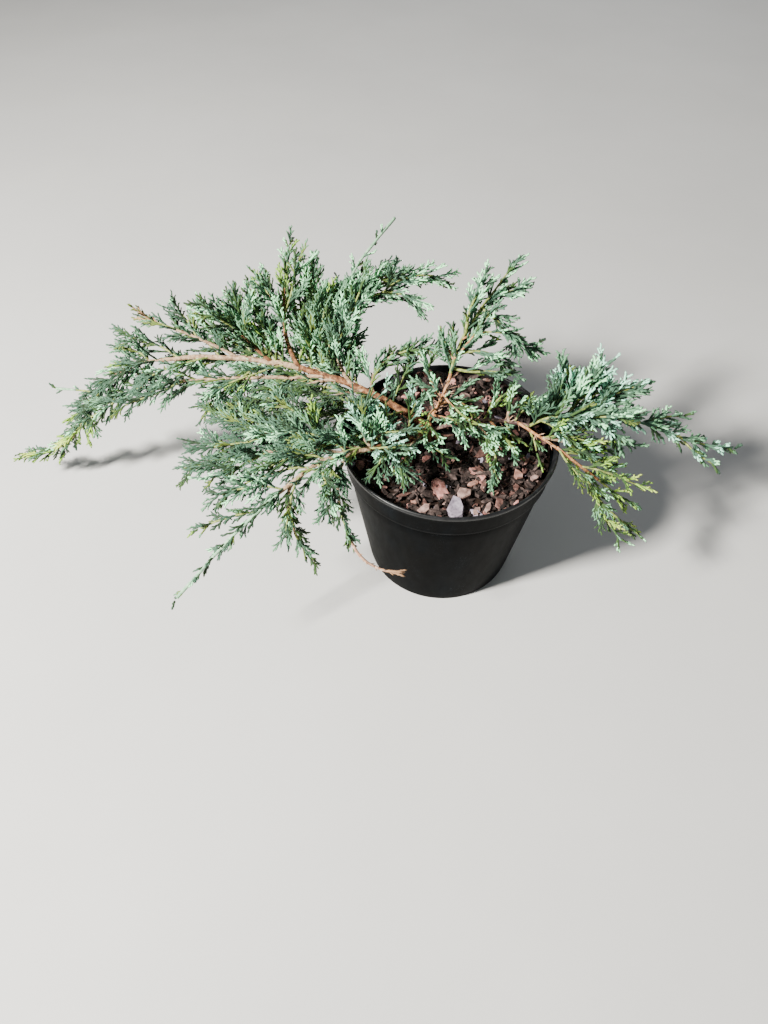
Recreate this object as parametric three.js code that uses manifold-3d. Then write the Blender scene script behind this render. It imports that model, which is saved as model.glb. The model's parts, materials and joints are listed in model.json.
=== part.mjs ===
// Spreading blue conifer in a round black nursery pot.
// Millimetres, +Z up. The origin is the centre of the pot's flat underside,
// +X points to the pot's right and +Y to its back.
import * as THREE from 'three';
import { mergeVertices } from 'three/addons/utils/BufferGeometryUtils.js';
import Module from 'manifold-3d';

const wasm = await Module();
wasm.setup();

// Driving dimensions
const CLEARANCE = 0.3;
const CUT_CLEARANCE = 1.25 * CLEARANCE;
const SAME_PLACE = 1e-4;
const STEEP = 0.95;
const POT = {
  height: 186,
  rimDiameter: 228,
  baseDiameter: 170,
  wall: 2,
  floor: 3,
  bandHeight: 32,
  bandStep: 2.5,
  bandChamfer: 1,
  lipRadius: 1.5,
  footBevel: 2,
  sides: 36,
  drainHoles: 6,
  drainDiameter: 12,
  drainCircle: 130,
  drainSides: 8,
};
const SOIL = {
  belowRim: 16,
  mound: 4,
  bump: 2,
  waveX: 13,
  waveY: 10,
  rows: 3,
  flatEdge: 1,
  seatRadius: 15,
  seatFlare: 6,
  seatHeight: 12,
  seatSides: 12,
};
const CHIP = {
  count: 10,
  thickness: 5,
  radius: 7,
  radiusSpread: 5,
  corners: 5,
  cornerSpread: 0.3,
  shortestReach: 0.75,
  reachSpread: 0.35,
  width: 0.6,
  tilt: 0.35,
  farthest: 95,
  turn: 2.4,
  seed: 11,
};
const TRUNK = {
  foot: new THREE.Vector2(-20, 4),
  length: 25,
  heading: [200, 200, 205],
  rise: [90, 82, 76],
  footRadius: 11,
  radius: 6.8,
  tipRadius: 3.4,
  flareShare: 0.3,
  sides: 10,
  rings: 5,
};
const LIMB = { sides: 6, ringLength: 22 };
const TWIG = { sides: 3, ringLength: 38, footRadius: 2, tipRadius: 1.3 };
const SPRAY = {
  spacing: 18,
  firstGap: 4,
  lastShare: 0.7,
  fewest: 2,
  fade: 0.3,
  shortest: 0.85,
  lengthSpread: 0.25,
  firstTurn: 60,
  thickness: 1.2,
  halfWidth: 0.28,
  rootDepth: 0.6,
  firstTooth: 0.12,
  teethShare: 0.68,
  narrowing: 0.5,
  notch: 0.22,
  toothLean: 0.9,
  stagger: 0.45,
  forward: 40,
  forwardSpread: 10,
  turn: 120,
  turnSpread: 12,
  rollSpread: 28,
  longSpray: 33,
  manyTeeth: 3,
  fewTeeth: 2,
  tipShare: 0.85,
  tipForward: 4.6,
  stemGap: 0.45,
  guard: 0.5,
  seed: 101,
};

// Shoots, each from its parent's path. `at` is the share of the parent's length where it starts,
// `heading` is its compass angle from +X towards +Y and `rise` its angle above level, in degrees,
// at its start, middle and tip. `bare` is the share of its length without foliage, `spray` the
// length of its sprays, and `mass` the mass that it belongs to when that isn't its own.
const SHOOTS = [
  // Main limbs
  {
    name: 'left_limb', from: 'trunk', at: 0.6, length: 315,
    heading: [140, 165, 180], rise: [10, 5, -10], radius: [4.2, 2.2], bare: 1,
  },
  {
    name: 'right_limb', from: 'trunk', at: 0.45, length: 105,
    heading: [10, 0, -25], rise: [15, 5, 0], radius: [2.5, 2.2], bare: 1,
  },
  {
    name: 'front_limb', from: 'trunk', at: 0.45, length: 130,
    heading: [-125, -155, -155], rise: [15, 10, -5], radius: [3.3, 2.3], bare: 1,
  },
  {
    name: 'leader_limb', from: 'trunk', at: 1, length: 55,
    heading: [25, 45, 75], rise: [55, 55, 30], radius: [2.4, 1.9], bare: 1,
  },
  // Left side
  {
    name: 'far_left', from: 'left_limb', at: 1, length: 130,
    heading: [170, 180, 160], rise: [-5, -38, -55], bare: 0, spray: 48,
  },
  {
    name: 'far_left_tip', from: 'far_left', at: 1, length: 160,
    heading: [160, 180, 175], rise: [-55, -43, 10], bare: 0, spray: 38,
  },
  {
    name: 'lower_left', from: 'left_limb', at: 0.4, length: 305,
    heading: [180, 175, 185], rise: [-5, -10, -40], radius: [2.2, 1.7], bare: 0.35, spray: 46,
  },
  {
    name: 'upper_left', from: 'left_limb', at: 0.72, length: 115,
    heading: [165, 165, 165], rise: [30, 15, 15], radius: [1.9, 1.6], bare: 0.35, spray: 38,
  },
  {
    name: 'top_left', from: 'left_limb', at: 0.6, length: 105,
    heading: [160, 155, 175], rise: [32, 38, 20], radius: [2.2, 1.8], bare: 0.2, spray: 52,
  },
  {
    name: 'top_left_fork', from: 'top_left', at: 0.3, length: 62, mass: 'top_left',
    heading: [110, 115, 125], rise: [42, 35, 15], bare: 0.1, spray: 46,
  },
  {
    name: 'top_centre', from: 'left_limb', at: 0.5, length: 152,
    heading: [140, 85, 95], rise: [40, 45, 15], radius: [2.6, 1.9], bare: 0.3, spray: 52,
  },
  {
    name: 'top_centre_fork', from: 'top_centre', at: 0.4, length: 62, mass: 'top_centre',
    heading: [150, 130, 115], rise: [38, 30, 10], bare: 0.1, spray: 44,
  },
  {
    name: 'top_shaded', from: 'left_limb', at: 0.4, length: 130,
    heading: [135, 90, 125], rise: [35, 45, 0], radius: [2.2, 1.8], bare: 0.15, spray: 48,
  },
  {
    name: 'top_right', from: 'left_limb', at: 0.3, length: 175,
    heading: [160, 35, -30], rise: [35, 35, -50], radius: [2.2, 1.8], bare: 0.2, spray: 44,
  },
  {
    name: 'whip', from: 'top_right', at: 0.35, length: 160, mass: 'top_right',
    heading: [100, 55, 65], rise: [40, 25, 10], bare: 0.1, spray: 28,
  },
  {
    name: 'middle', from: 'left_limb', at: 0.22, length: 115,
    heading: [130, 5, 5], rise: [25, 25, -15], radius: [1.9, 1.7], bare: 0.1, spray: 36,
  },
  {
    name: 'inner_left', from: 'left_limb', at: 0.35, length: 120,
    heading: [-190, -160, -220], rise: [0, -10, -20], radius: [1.9, 1.7], bare: 0.15, spray: 44,
  },
  {
    name: 'inner_low', from: 'left_limb', at: 0.25, length: 110,
    heading: [-185, -145, -225], rise: [5, 0, -30], radius: [1.9, 1.7], bare: 0.15, spray: 46,
  },
  // Front left
  {
    name: 'front_upper', from: 'front_limb', at: 0.65, length: 200,
    heading: [175, 155, 120], rise: [15, -10, -10], radius: [2.2, 1.8], bare: 0.12, spray: 48,
  },
  {
    name: 'front_middle', from: 'front_limb', at: 0.8, length: 180,
    heading: [170, 175, 170], rise: [5, -15, -25], radius: [2.2, 1.8], bare: 0.12, spray: 48,
  },
  {
    name: 'front_low', from: 'front_limb', at: 1, length: 205,
    heading: [-140, -145, -130], rise: [-5, -30, -20], radius: [2.4, 1.9], bare: 0.25, spray: 34,
  },
  {
    name: 'front_drooping', from: 'front_low', at: 0.15, length: 110,
    heading: [-150, -50, -45], rise: [-40, -65, -25], radius: [1.9, 1.7], bare: 0.12, spray: 38,
  },
  {
    name: 'rim_drooping', from: 'front_limb', at: 0.75, length: 100,
    heading: [-135, -80, -55], rise: [0, -45, -50], radius: [1.9, 1.6], bare: 0.15, spray: 34,
  },
  {
    name: 'dead_twig', from: 'rim_drooping', at: 0.95, length: 65, mass: 'rim_drooping',
    heading: [-60, -20, 15], rise: [-40, -25, -10], bare: 1,
  },
  {
    name: 'upright', from: 'front_limb', at: 0.55, length: 65,
    heading: [225, 80, 85], rise: [30, 50, 0], radius: [1.9, 1.7], bare: 0.12, spray: 42,
  },
  {
    name: 'upright_right', from: 'upright', at: 0.2, length: 50, mass: 'upright',
    heading: [20, 0, -20], rise: [30, 15, 0], bare: 0.1, spray: 34,
  },
  {
    name: 'foot', from: 'front_limb', at: 0.15, length: 70,
    heading: [-100, -110, -75], rise: [25, 10, -55], radius: [1.9, 1.6], bare: 0.12, spray: 34,
  },
  // Leader and its side shoots
  {
    name: 'leader', from: 'leader_limb', at: 1, length: 145,
    heading: [80, 45, 70], rise: [35, 35, 5], bare: 0, spray: 38,
  },
  {
    name: 'leader_low', from: 'leader_limb', at: 0.35, length: 65,
    heading: [35, -30, -55], rise: [20, -20, -65], radius: [1.9, 1.7], bare: 0.12, spray: 36,
  },
  {
    name: 'leader_right', from: 'leader', at: 0.5, length: 90, mass: 'leader',
    heading: [-60, -5, 25], rise: [10, -45, 10], bare: 0.1, spray: 34,
  },
  {
    name: 'leader_inner', from: 'leader', at: 0.12, length: 65, mass: 'leader',
    heading: [25, -5, -20], rise: [20, -15, -60], bare: 0.1, spray: 32,
  },
  {
    name: 'leader_thin', from: 'leader', at: 0.04, length: 70, mass: 'leader',
    heading: [-20, 0, 0], rise: [-5, 0, -15], bare: 0.2, spray: 30,
  },
  {
    name: 'leader_left', from: 'leader', at: 0.3, length: 65, mass: 'leader',
    heading: [80, 60, 55], rise: [80, 40, 15], bare: 0.1, spray: 34,
  },
  {
    name: 'leader_upper', from: 'leader', at: 0.55, length: 45, mass: 'leader',
    heading: [20, 15, 65], rise: [35, 10, 10], bare: 0.1, spray: 32,
  },
  // Right side
  {
    name: 'right_long', from: 'right_limb', at: 1, length: 240,
    heading: [10, -10, 20], rise: [35, -15, -10], bare: 0, spray: 46,
  },
  {
    name: 'right_fan', from: 'right_long', at: 0.17, length: 70, mass: 'right_long',
    heading: [55, 40, 75], rise: [20, 45, 5], bare: 0.1, spray: 40,
  },
  {
    name: 'right_crest', from: 'right_long', at: 0.3, length: 65, mass: 'right_long',
    heading: [75, 15, 45], rise: [35, 20, 5], bare: 0.1, spray: 38,
  },
  {
    name: 'right_lower', from: 'right_limb', at: 0.88, length: 165,
    heading: [-55, -20, -10], rise: [15, -32, -25], radius: [2.2, 1.7], bare: 0.3, spray: 34,
  },
  {
    name: 'right_fork', from: 'right_lower', at: 0.55, length: 95, mass: 'right_lower',
    heading: [-80, -30, -30], rise: [-50, -30, -40], bare: 0.1, spray: 32,
  },
  {
    name: 'right_sprig', from: 'right_lower', at: 0.2, length: 80,
    heading: [5, 0, 20], rise: [-10, -15, -20], radius: [1.7, 1.5], bare: 0.1, spray: 34,
  },
  {
    name: 'right_small', from: 'right_limb', at: 0.8, length: 50,
    heading: [140, -5, -15], rise: [45, 25, -20], radius: [1.7, 1.5], bare: 0.12, spray: 34,
  },
  {
    name: 'right_front', from: 'right_limb', at: 0.4, length: 90,
    heading: [-65, -70, -140], rise: [40, -20, -20], radius: [1.9, 1.6], bare: 0.15, spray: 34,
  },
];

const COLOURS = {
  pot: [0x17181a, 0.72],
  soil: [0x4a2f25, 0.95],
  wood: [0x84593f, 0.85],
  blueGreen: [0x7fa092, 0.8],
  shadedGreen: [0x4f6f4c, 0.8],
  brightGreen: [0x93ad4a, 0.8],
};
const SHADED_MASSES = ['top_shaded', 'middle', 'inner_left', 'inner_low', 'front_drooping'];
const BRIGHT_MASSES = ['far_left_tip', 'right_lower', 'right_sprig', 'rim_drooping'];

const X_AXIS = new THREE.Vector3(1, 0, 0);
const UP = new THREE.Vector3(0, 0, 1);

// Random numbers from a seed
function randomFrom(seed) {
  let state = seed >>> 0;
  return () => {
    state = (state + 0x6d2b79f5) >>> 0;
    let t = state;
    t = Math.imul(t ^ (t >>> 15), t | 1);
    t ^= t + Math.imul(t ^ (t >>> 7), t | 61);
    return ((t ^ (t >>> 14)) >>> 0) / 4294967296;
  };
}

function spread(random, amount) {
  return (random() * 2 - 1) * amount;
}

// Closed mesh to solid, and solid back to geometry
function solidOf(geometry) {
  const bare = geometry.clone();
  bare.deleteAttribute('normal');
  bare.deleteAttribute('uv');
  const merged = mergeVertices(bare, SAME_PLACE);
  return new wasm.Manifold(new wasm.Mesh({
    numProp: 3,
    vertProperties: new Float32Array(merged.getAttribute('position').array),
    triVerts: new Uint32Array(merged.getIndex().array),
  }));
}

function isEmpty(solid) {
  return solid.getMesh().triVerts.length === 0;
}

// Only the biggest shell stays, which fills sealed hollows and drops loose scraps
function geometryOf(solid) {
  const { vertProperties, triVerts } = solid.getMesh();
  const root = Array.from({ length: vertProperties.length / 3 }, (_, i) => i);
  const find = (i) => {
    while (root[i] !== i) {
      root[i] = root[root[i]];
      i = root[i];
    }
    return i;
  };
  for (let k = 0; k < triVerts.length; k += 3) {
    root[find(triVerts[k + 1])] = find(triVerts[k]);
    root[find(triVerts[k + 2])] = find(triVerts[k]);
  }
  const volumes = new Map();
  const corner = (i) => new THREE.Vector3().fromArray(vertProperties, 3 * i);
  for (let k = 0; k < triVerts.length; k += 3) {
    const a = corner(triVerts[k]);
    const b = corner(triVerts[k + 1]);
    const c = corner(triVerts[k + 2]);
    const shell = find(triVerts[k]);
    volumes.set(shell, (volumes.get(shell) ?? 0) + a.dot(b.cross(c)) / 6);
  }
  const biggest = [...volumes].reduce((best, entry) => (entry[1] > best[1] ? entry : best))[0];
  const index = [];
  for (let k = 0; k < triVerts.length; k += 3) {
    if (find(triVerts[k]) === biggest) {
      index.push(triVerts[k], triVerts[k + 1], triVerts[k + 2]);
    }
  }
  const geometry = new THREE.BufferGeometry();
  geometry.setAttribute('position', new THREE.BufferAttribute(vertProperties.slice(), 3));
  geometry.setIndex(index);
  const flat = geometry.toNonIndexed();
  flat.computeVertexNormals();
  return flat;
}

// A shoot's path: heading and rise run through their three values along its length
function curveThrough([start, middle, end], t) {
  return start * (1 - t) * (1 - 2 * t) + middle * 4 * t * (1 - t) + end * t * (2 * t - 1);
}

const PATH_STEPS = 24;
function growPath(start, { length, heading, rise }) {
  const points = [start.clone()];
  const tangents = [];
  for (let i = 0; i <= PATH_STEPS; i += 1) {
    const t = Math.min(1, (i + 0.5) / PATH_STEPS);
    const turn = THREE.MathUtils.degToRad(curveThrough(heading, t));
    const climb = THREE.MathUtils.degToRad(curveThrough(rise, t));
    const level = Math.cos(climb);
    tangents.push(new THREE.Vector3(level * Math.cos(turn), level * Math.sin(turn), Math.sin(climb)));
    if (i < PATH_STEPS) {
      points.push(points[i].clone().addScaledVector(tangents[i], length / PATH_STEPS));
    }
  }
  const normals = [];
  let across = Math.abs(tangents[0].z) > STEEP ? X_AXIS.clone() : UP.clone();
  for (const tangent of tangents) {
    across = across.clone().addScaledVector(tangent, -across.dot(tangent)).normalize();
    normals.push(across);
  }
  return { points, tangents, normals, length };
}

function frameAt(path, share) {
  const place = share * PATH_STEPS;
  const i = THREE.MathUtils.clamp(Math.floor(place), 0, PATH_STEPS - 1);
  const point = path.points[i].clone().lerp(path.points[i + 1], place - i);
  const tangent = path.tangents[i].clone().lerp(path.tangents[i + 1], place - i).normalize();
  const normal = path.normals[i].clone().lerp(path.normals[i + 1], place - i);
  normal.addScaledVector(tangent, -normal.dot(tangent)).normalize();
  return { point, tangent, normal, side: normal.clone().cross(tangent) };
}

// A cylinder bent along a stretch of a path, with a radius that depends on the share along it
function limbGeometry(path, from, to, radiusAt, sides, rings) {
  const geometry = new THREE.CylinderGeometry(1, 1, 1, sides, rings);
  geometry.rotateY(Math.PI / 2);
  const position = geometry.getAttribute('position');
  for (let i = 0; i < position.count; i += 1) {
    const along = position.getY(i) + 0.5;
    const { point, normal, side } = frameAt(path, from + (to - from) * along);
    const radius = radiusAt(along);
    point.addScaledVector(normal, position.getX(i) * radius);
    point.addScaledVector(side, position.getZ(i) * radius);
    position.setXYZ(i, point.x, point.y, point.z);
  }
  return geometry;
}

function taper([foot, tip], extra = 0) {
  return (along) => foot + (tip - foot) * along + extra;
}

// Pot
function potRadiusAt(z) {
  const base = POT.baseDiameter / 2;
  const bodyTop = POT.rimDiameter / 2 - POT.bandStep;
  return base + (bodyTop - base) * (z / POT.height);
}

function makePot() {
  const band = POT.height - POT.bandHeight;
  const rim = POT.rimDiameter / 2;
  const lip = POT.lipRadius;
  const points = [
    new THREE.Vector2(0, 0),
    new THREE.Vector2(potRadiusAt(0) - POT.footBevel, 0),
    new THREE.Vector2(potRadiusAt(POT.footBevel), POT.footBevel),
    new THREE.Vector2(potRadiusAt(band), band),
    new THREE.Vector2(potRadiusAt(band) + POT.bandStep, band + POT.bandChamfer),
    new THREE.Vector2(rim - lip, POT.height - 3 * lip),
    new THREE.Vector2(rim, POT.height - 2 * lip),
    new THREE.Vector2(rim, POT.height - lip / 2),
    new THREE.Vector2(rim - lip / 2, POT.height),
    new THREE.Vector2(rim - POT.wall - lip, POT.height),
    new THREE.Vector2(potRadiusAt(POT.height) - POT.wall, POT.height - 3 * lip),
    new THREE.Vector2(potRadiusAt(POT.floor) - POT.wall, POT.floor),
    new THREE.Vector2(0, POT.floor),
  ];
  const shell = new THREE.LatheGeometry(points, POT.sides);
  shell.rotateX(Math.PI / 2);
  let pot = solidOf(shell);
  for (let i = 0; i < POT.drainHoles; i += 1) {
    const angle = ((i + 0.5) / POT.drainHoles) * 2 * Math.PI;
    const hole = new THREE.CylinderGeometry(
      POT.drainDiameter / 2,
      POT.drainDiameter / 2,
      3 * POT.floor,
      POT.drainSides,
    );
    hole.rotateX(Math.PI / 2);
    hole.translate(
      (Math.cos(angle) * POT.drainCircle) / 2,
      (Math.sin(angle) * POT.drainCircle) / 2,
      POT.floor / 2,
    );
    pot = pot.subtract(solidOf(hole));
  }
  return pot;
}

// Soil with bark chips on top
const soilTop = POT.height - SOIL.belowRim;
const seatTop = soilTop + SOIL.mound + SOIL.bump;

function soilRadiusAt(z) {
  return potRadiusAt(z) - POT.wall - CLEARANCE;
}

function chipGeometry(size, random) {
  const outline = [];
  for (let i = 0; i < CHIP.corners; i += 1) {
    const angle = ((i + spread(random, CHIP.cornerSpread)) / CHIP.corners) * 2 * Math.PI;
    const reach = size * (CHIP.shortestReach + CHIP.reachSpread * random());
    outline.push(new THREE.Vector2(Math.cos(angle) * reach, Math.sin(angle) * reach * CHIP.width));
  }
  const depth = CHIP.thickness;
  const chip = new THREE.ExtrudeGeometry(new THREE.Shape(outline), { depth, bevelEnabled: false });
  chip.translate(0, 0, -depth / 2);
  chip.rotateX(spread(random, CHIP.tilt));
  chip.rotateY(spread(random, CHIP.tilt));
  chip.rotateZ(random() * Math.PI);
  return chip;
}

function makeSoil() {
  const random = randomFrom(CHIP.seed);
  const bottom = POT.floor + CLEARANCE;
  const points = [new THREE.Vector2(0, bottom), new THREE.Vector2(soilRadiusAt(bottom), bottom)];
  for (let row = 0; row <= SOIL.rows; row += 1) {
    const share = row / SOIL.rows;
    const z = soilTop + SOIL.mound * Math.sin((share * Math.PI) / 2);
    points.push(new THREE.Vector2(soilRadiusAt(soilTop) * (1 - share), z));
  }
  const bed = new THREE.LatheGeometry(points, POT.sides);
  bed.rotateX(Math.PI / 2);
  bed.deleteAttribute('normal');
  bed.deleteAttribute('uv');
  const bumpy = mergeVertices(bed, SAME_PLACE);
  const position = bumpy.getAttribute('position');
  const edge = soilRadiusAt(soilTop) - SOIL.flatEdge;
  for (let i = 0; i < position.count; i += 1) {
    const radius = Math.hypot(position.getX(i), position.getY(i));
    if (position.getZ(i) > soilTop - SOIL.flatEdge && radius < edge) {
      const wave = Math.sin(position.getX(i) / SOIL.waveX) * Math.cos(position.getY(i) / SOIL.waveY);
      position.setZ(i, position.getZ(i) + SOIL.bump * wave);
    }
  }
  let soil = solidOf(bumpy);
  const seat = new THREE.CylinderGeometry(
    SOIL.seatRadius,
    SOIL.seatRadius + SOIL.seatFlare,
    SOIL.seatHeight,
    SOIL.seatSides,
  );
  seat.rotateX(Math.PI / 2);
  seat.translate(TRUNK.foot.x, TRUNK.foot.y, seatTop - SOIL.seatHeight / 2);
  soil = soil.add(solidOf(seat));
  for (let i = 0; i < CHIP.count; i += 1) {
    const reach = CHIP.farthest * Math.sqrt((i + 0.5) / CHIP.count);
    const place = new THREE.Vector2(reach, 0).rotateAround(new THREE.Vector2(), i * CHIP.turn);
    const size = CHIP.radius + CHIP.radiusSpread * random();
    const chip = chipGeometry(size, random);
    chip.translate(place.x, place.y, soilTop + SOIL.mound * (1 - reach / edge));
    if (place.distanceTo(TRUNK.foot) > SOIL.seatRadius + size && reach + size < edge) {
      soil = soil.add(solidOf(chip));
    }
  }
  return soil;
}

// Trunk, from a flat cut at soil level to the fork
function trunkRadiusAt(along) {
  const flare = Math.max(0, 1 - along / TRUNK.flareShare) ** 2;
  const stem = TRUNK.radius + (TRUNK.tipRadius - TRUNK.radius) * along;
  return stem + (TRUNK.footRadius - TRUNK.radius) * flare;
}

const trunkStart = new THREE.Vector3(TRUNK.foot.x, TRUNK.foot.y, seatTop + CLEARANCE);
const paths = { trunk: growPath(trunkStart, TRUNK) };
for (const shoot of SHOOTS) {
  paths[shoot.name] = growPath(frameAt(paths[shoot.from], shoot.at).point, shoot);
}

// A toothed spray of scale leaves, its teeth pointing forward and set off between the two sides
function sprayOutline(length, guard) {
  const teeth = length >= SPRAY.longSpray ? SPRAY.manyTeeth : SPRAY.fewTeeth;
  const edge = (offset) => {
    const points = [];
    for (let i = 0; i < teeth; i += 1) {
      const along = (SPRAY.firstTooth + (SPRAY.teethShare * (i + offset)) / teeth) * length;
      const reach = length * SPRAY.halfWidth * (1 - (SPRAY.narrowing * (i + offset)) / teeth);
      if (i > 0) {
        points.push(new THREE.Vector2(along, reach * SPRAY.notch + guard));
      }
      points.push(new THREE.Vector2(along + reach * SPRAY.toothLean + guard, reach + guard));
    }
    return points;
  };
  const root = new THREE.Vector2(-SPRAY.rootDepth - guard, 0);
  const tip = new THREE.Vector2(length + guard, 0);
  const left = edge(0);
  const right = edge(SPRAY.stagger).map((point) => new THREE.Vector2(point.x, -point.y));
  return new THREE.Shape([root, ...right, tip, ...left.reverse()]);
}

function sprayGeometry(frame, length, guard) {
  const depth = SPRAY.thickness + 2 * guard;
  const blade = new THREE.ExtrudeGeometry(sprayOutline(length, guard), { depth, bevelEnabled: false });
  blade.translate(0, 0, -depth / 2);
  blade.applyMatrix4(frame);
  return blade;
}

// Angles in degrees: round the stem, away from it, and of the spray's own roll
function sprayFrame(at, ...degrees) {
  const [azimuth, forward, roll] = degrees.map(THREE.MathUtils.degToRad);
  const out = at.normal.clone().multiplyScalar(Math.cos(azimuth));
  out.addScaledVector(at.side, Math.sin(azimuth));
  const along = at.tangent.clone().multiplyScalar(Math.cos(forward));
  along.addScaledVector(out, Math.sin(forward)).normalize();
  const level = Math.abs(along.z) > STEEP ? at.side.clone() : UP.clone();
  const across = level.cross(along).normalize();
  across.applyAxisAngle(along, roll);
  const face = along.clone().cross(across);
  return new THREE.Matrix4().makeBasis(along, across, face).setPosition(at.point);
}

// Everything that is already placed and has to be kept clear of
const placed = [];

function boxOf(geometry) {
  geometry.computeBoundingBox();
  return geometry.boundingBox;
}

function keep(owner, geometry, solid) {
  placed.push({ owner, box: boxOf(geometry), solid });
}

function isClear(owner, geometry) {
  const box = boxOf(geometry);
  const near = placed.filter((other) => other.owner !== owner && other.box.intersectsBox(box));
  if (near.length === 0) {
    return true;
  }
  const guard = solidOf(geometry);
  return near.every((other) => isEmpty(guard.intersect(other.solid)));
}

// Woody limbs, each cut clear of the limb that it grows from
function parentOf(shoot) {
  return SHOOTS.find((other) => other.name === shoot.from);
}

function limbSolid(shoot, extra) {
  const path = paths[shoot.name];
  const end = shoot.bare + extra / shoot.length;
  const rings = Math.max(2, Math.ceil((shoot.length * shoot.bare) / LIMB.ringLength));
  return solidOf(limbGeometry(path, 0, end, taper(shoot.radius, extra), LIMB.sides, rings));
}

function trunkSolid(extra) {
  const radiusAt = (along) => trunkRadiusAt(along) + extra;
  const end = 1 + extra / TRUNK.length;
  return solidOf(limbGeometry(paths.trunk, 0, end, radiusAt, TRUNK.sides, TRUNK.rings));
}

function cutClearOfParent(shoot, solid) {
  if (shoot.from === 'trunk') {
    return solid.subtract(trunkSolid(CUT_CLEARANCE));
  }
  return solid.subtract(limbSolid(parentOf(shoot), CUT_CLEARANCE));
}

// Foliage: three-sided twigs along the shoots' paths, with sprays at a steady turn round them
function twigStart(shoot) {
  const atTip = shoot.bare > 0 || shoot.at === 1;
  return shoot.bare + (atTip && !shoot.mass ? CLEARANCE / shoot.length : 0);
}

function twigGeometry(shoot) {
  const from = shoot.mass ? 0 : twigStart(shoot);
  const rings = Math.max(2, Math.ceil((shoot.length * (1 - from)) / TWIG.ringLength));
  const carriesMass = SHOOTS.some((other) => other.from === shoot.name && other.at === 1);
  const end = carriesMass ? 1 : 1 - (SPRAY.stemGap * (shoot.spray ?? 0)) / shoot.length;
  const radii = taper([TWIG.footRadius, TWIG.tipRadius]);
  return limbGeometry(paths[shoot.name], from, end, radii, TWIG.sides, rings);
}

function growSprays(shoot, owner, foliage, random) {
  const path = paths[shoot.name];
  const start = shoot.bare + SPRAY.firstGap / shoot.length;
  const end = 1 - (SPRAY.lastShare * shoot.spray) / shoot.length;
  const count = Math.max(SPRAY.fewest, Math.round(((end - start) * shoot.length) / SPRAY.spacing));
  let grown = foliage;
  for (let i = 0; i <= count; i += 1) {
    const atTip = i === count;
    const share = start + ((end - start) * i) / count;
    const sideShare = atTip ? 0 : (1 - SPRAY.fade * share) * (SPRAY.shortest + SPRAY.lengthSpread * random());
    const length = shoot.spray * (atTip ? SPRAY.tipShare : sideShare);
    const azimuth = SPRAY.firstTurn - SPRAY.turn * (i % 3) + spread(random, SPRAY.turnSpread);
    const lean = SPRAY.forward + spread(random, SPRAY.forwardSpread);
    const forward = atTip ? SPRAY.tipForward : lean;
    const roll = spread(random, SPRAY.rollSpread);
    const frame = sprayFrame(frameAt(path, share), azimuth, forward, roll);
    if (isClear(owner, sprayGeometry(frame, length, SPRAY.guard))) {
      const blade = sprayGeometry(frame, length, 0);
      const solid = solidOf(blade);
      keep(owner, blade, solid);
      grown = grown.add(solid);
    }
  }
  return grown;
}

// Assembly
const group = new THREE.Group();
group.name = 'potted_conifer';

const materials = {};
for (const [name, [colour, roughness]] of Object.entries(COLOURS)) {
  materials[name] = new THREE.MeshStandardMaterial({ color: colour, roughness, metalness: 0 });
}

function addPart(name, solid, material) {
  const geometry = geometryOf(solid);
  const mesh = new THREE.Mesh(geometry, material);
  mesh.name = name;
  group.add(mesh);
  return geometry;
}

function addWoody(name, solid, material) {
  keep(name, addPart(name, solid, material), solid);
}

addWoody('pot', makePot(), materials.pot);
addWoody('soil', makeSoil(), materials.soil);
addWoody('trunk', trunkSolid(0), materials.wood);
const limbs = SHOOTS.filter((shoot) => shoot.bare > 0 && !shoot.mass);
for (const shoot of limbs) {
  const name = shoot.bare === 1 ? shoot.name : `${shoot.name}_bough`;
  addWoody(name, cutClearOfParent(shoot, limbSolid(shoot, 0)), materials.wood);
}

const masses = SHOOTS.filter((shoot) => shoot.bare < 1 && !shoot.mass);
const twigsOf = (mass) => SHOOTS.filter((shoot) => (shoot.mass ?? shoot.name) === mass.name);
const stems = {};
for (const mass of masses) {
  for (const shoot of twigsOf(mass)) {
    const geometry = twigGeometry(shoot);
    const whole = solidOf(geometry);
    const startsOnLimb = shoot.bare === 0 && limbs.includes(parentOf(shoot));
    const solid = startsOnLimb ? cutClearOfParent(shoot, whole) : whole;
    keep(mass.name, geometry, solid);
    stems[mass.name] = stems[mass.name] ? stems[mass.name].add(solid) : solid;
  }
}

function massMaterial(mass) {
  if (SHADED_MASSES.includes(mass.name)) {
    return materials.shadedGreen;
  }
  return BRIGHT_MASSES.includes(mass.name) ? materials.brightGreen : materials.blueGreen;
}

masses.forEach((mass, number) => {
  const random = randomFrom(SPRAY.seed + number);
  let foliage = stems[mass.name];
  for (const shoot of twigsOf(mass)) {
    if (shoot.spray) {
      foliage = growSprays(shoot, mass.name, foliage, random);
    }
  }
  addPart(`${mass.name}_foliage`, foliage, massMaterial(mass));
});

export default group;
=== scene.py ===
"""Looks of a spreading blue conifer in a round black nursery pot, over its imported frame.

Sizes are in millimetres and become metres where a mesh is made. The shoots, their paths and their
sprays follow the same rule as the part's source, and grow on here to finer twigs.
"""

import json
import math

import bmesh
import bpy
import numpy as np
from mathutils import Matrix, Vector

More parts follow.
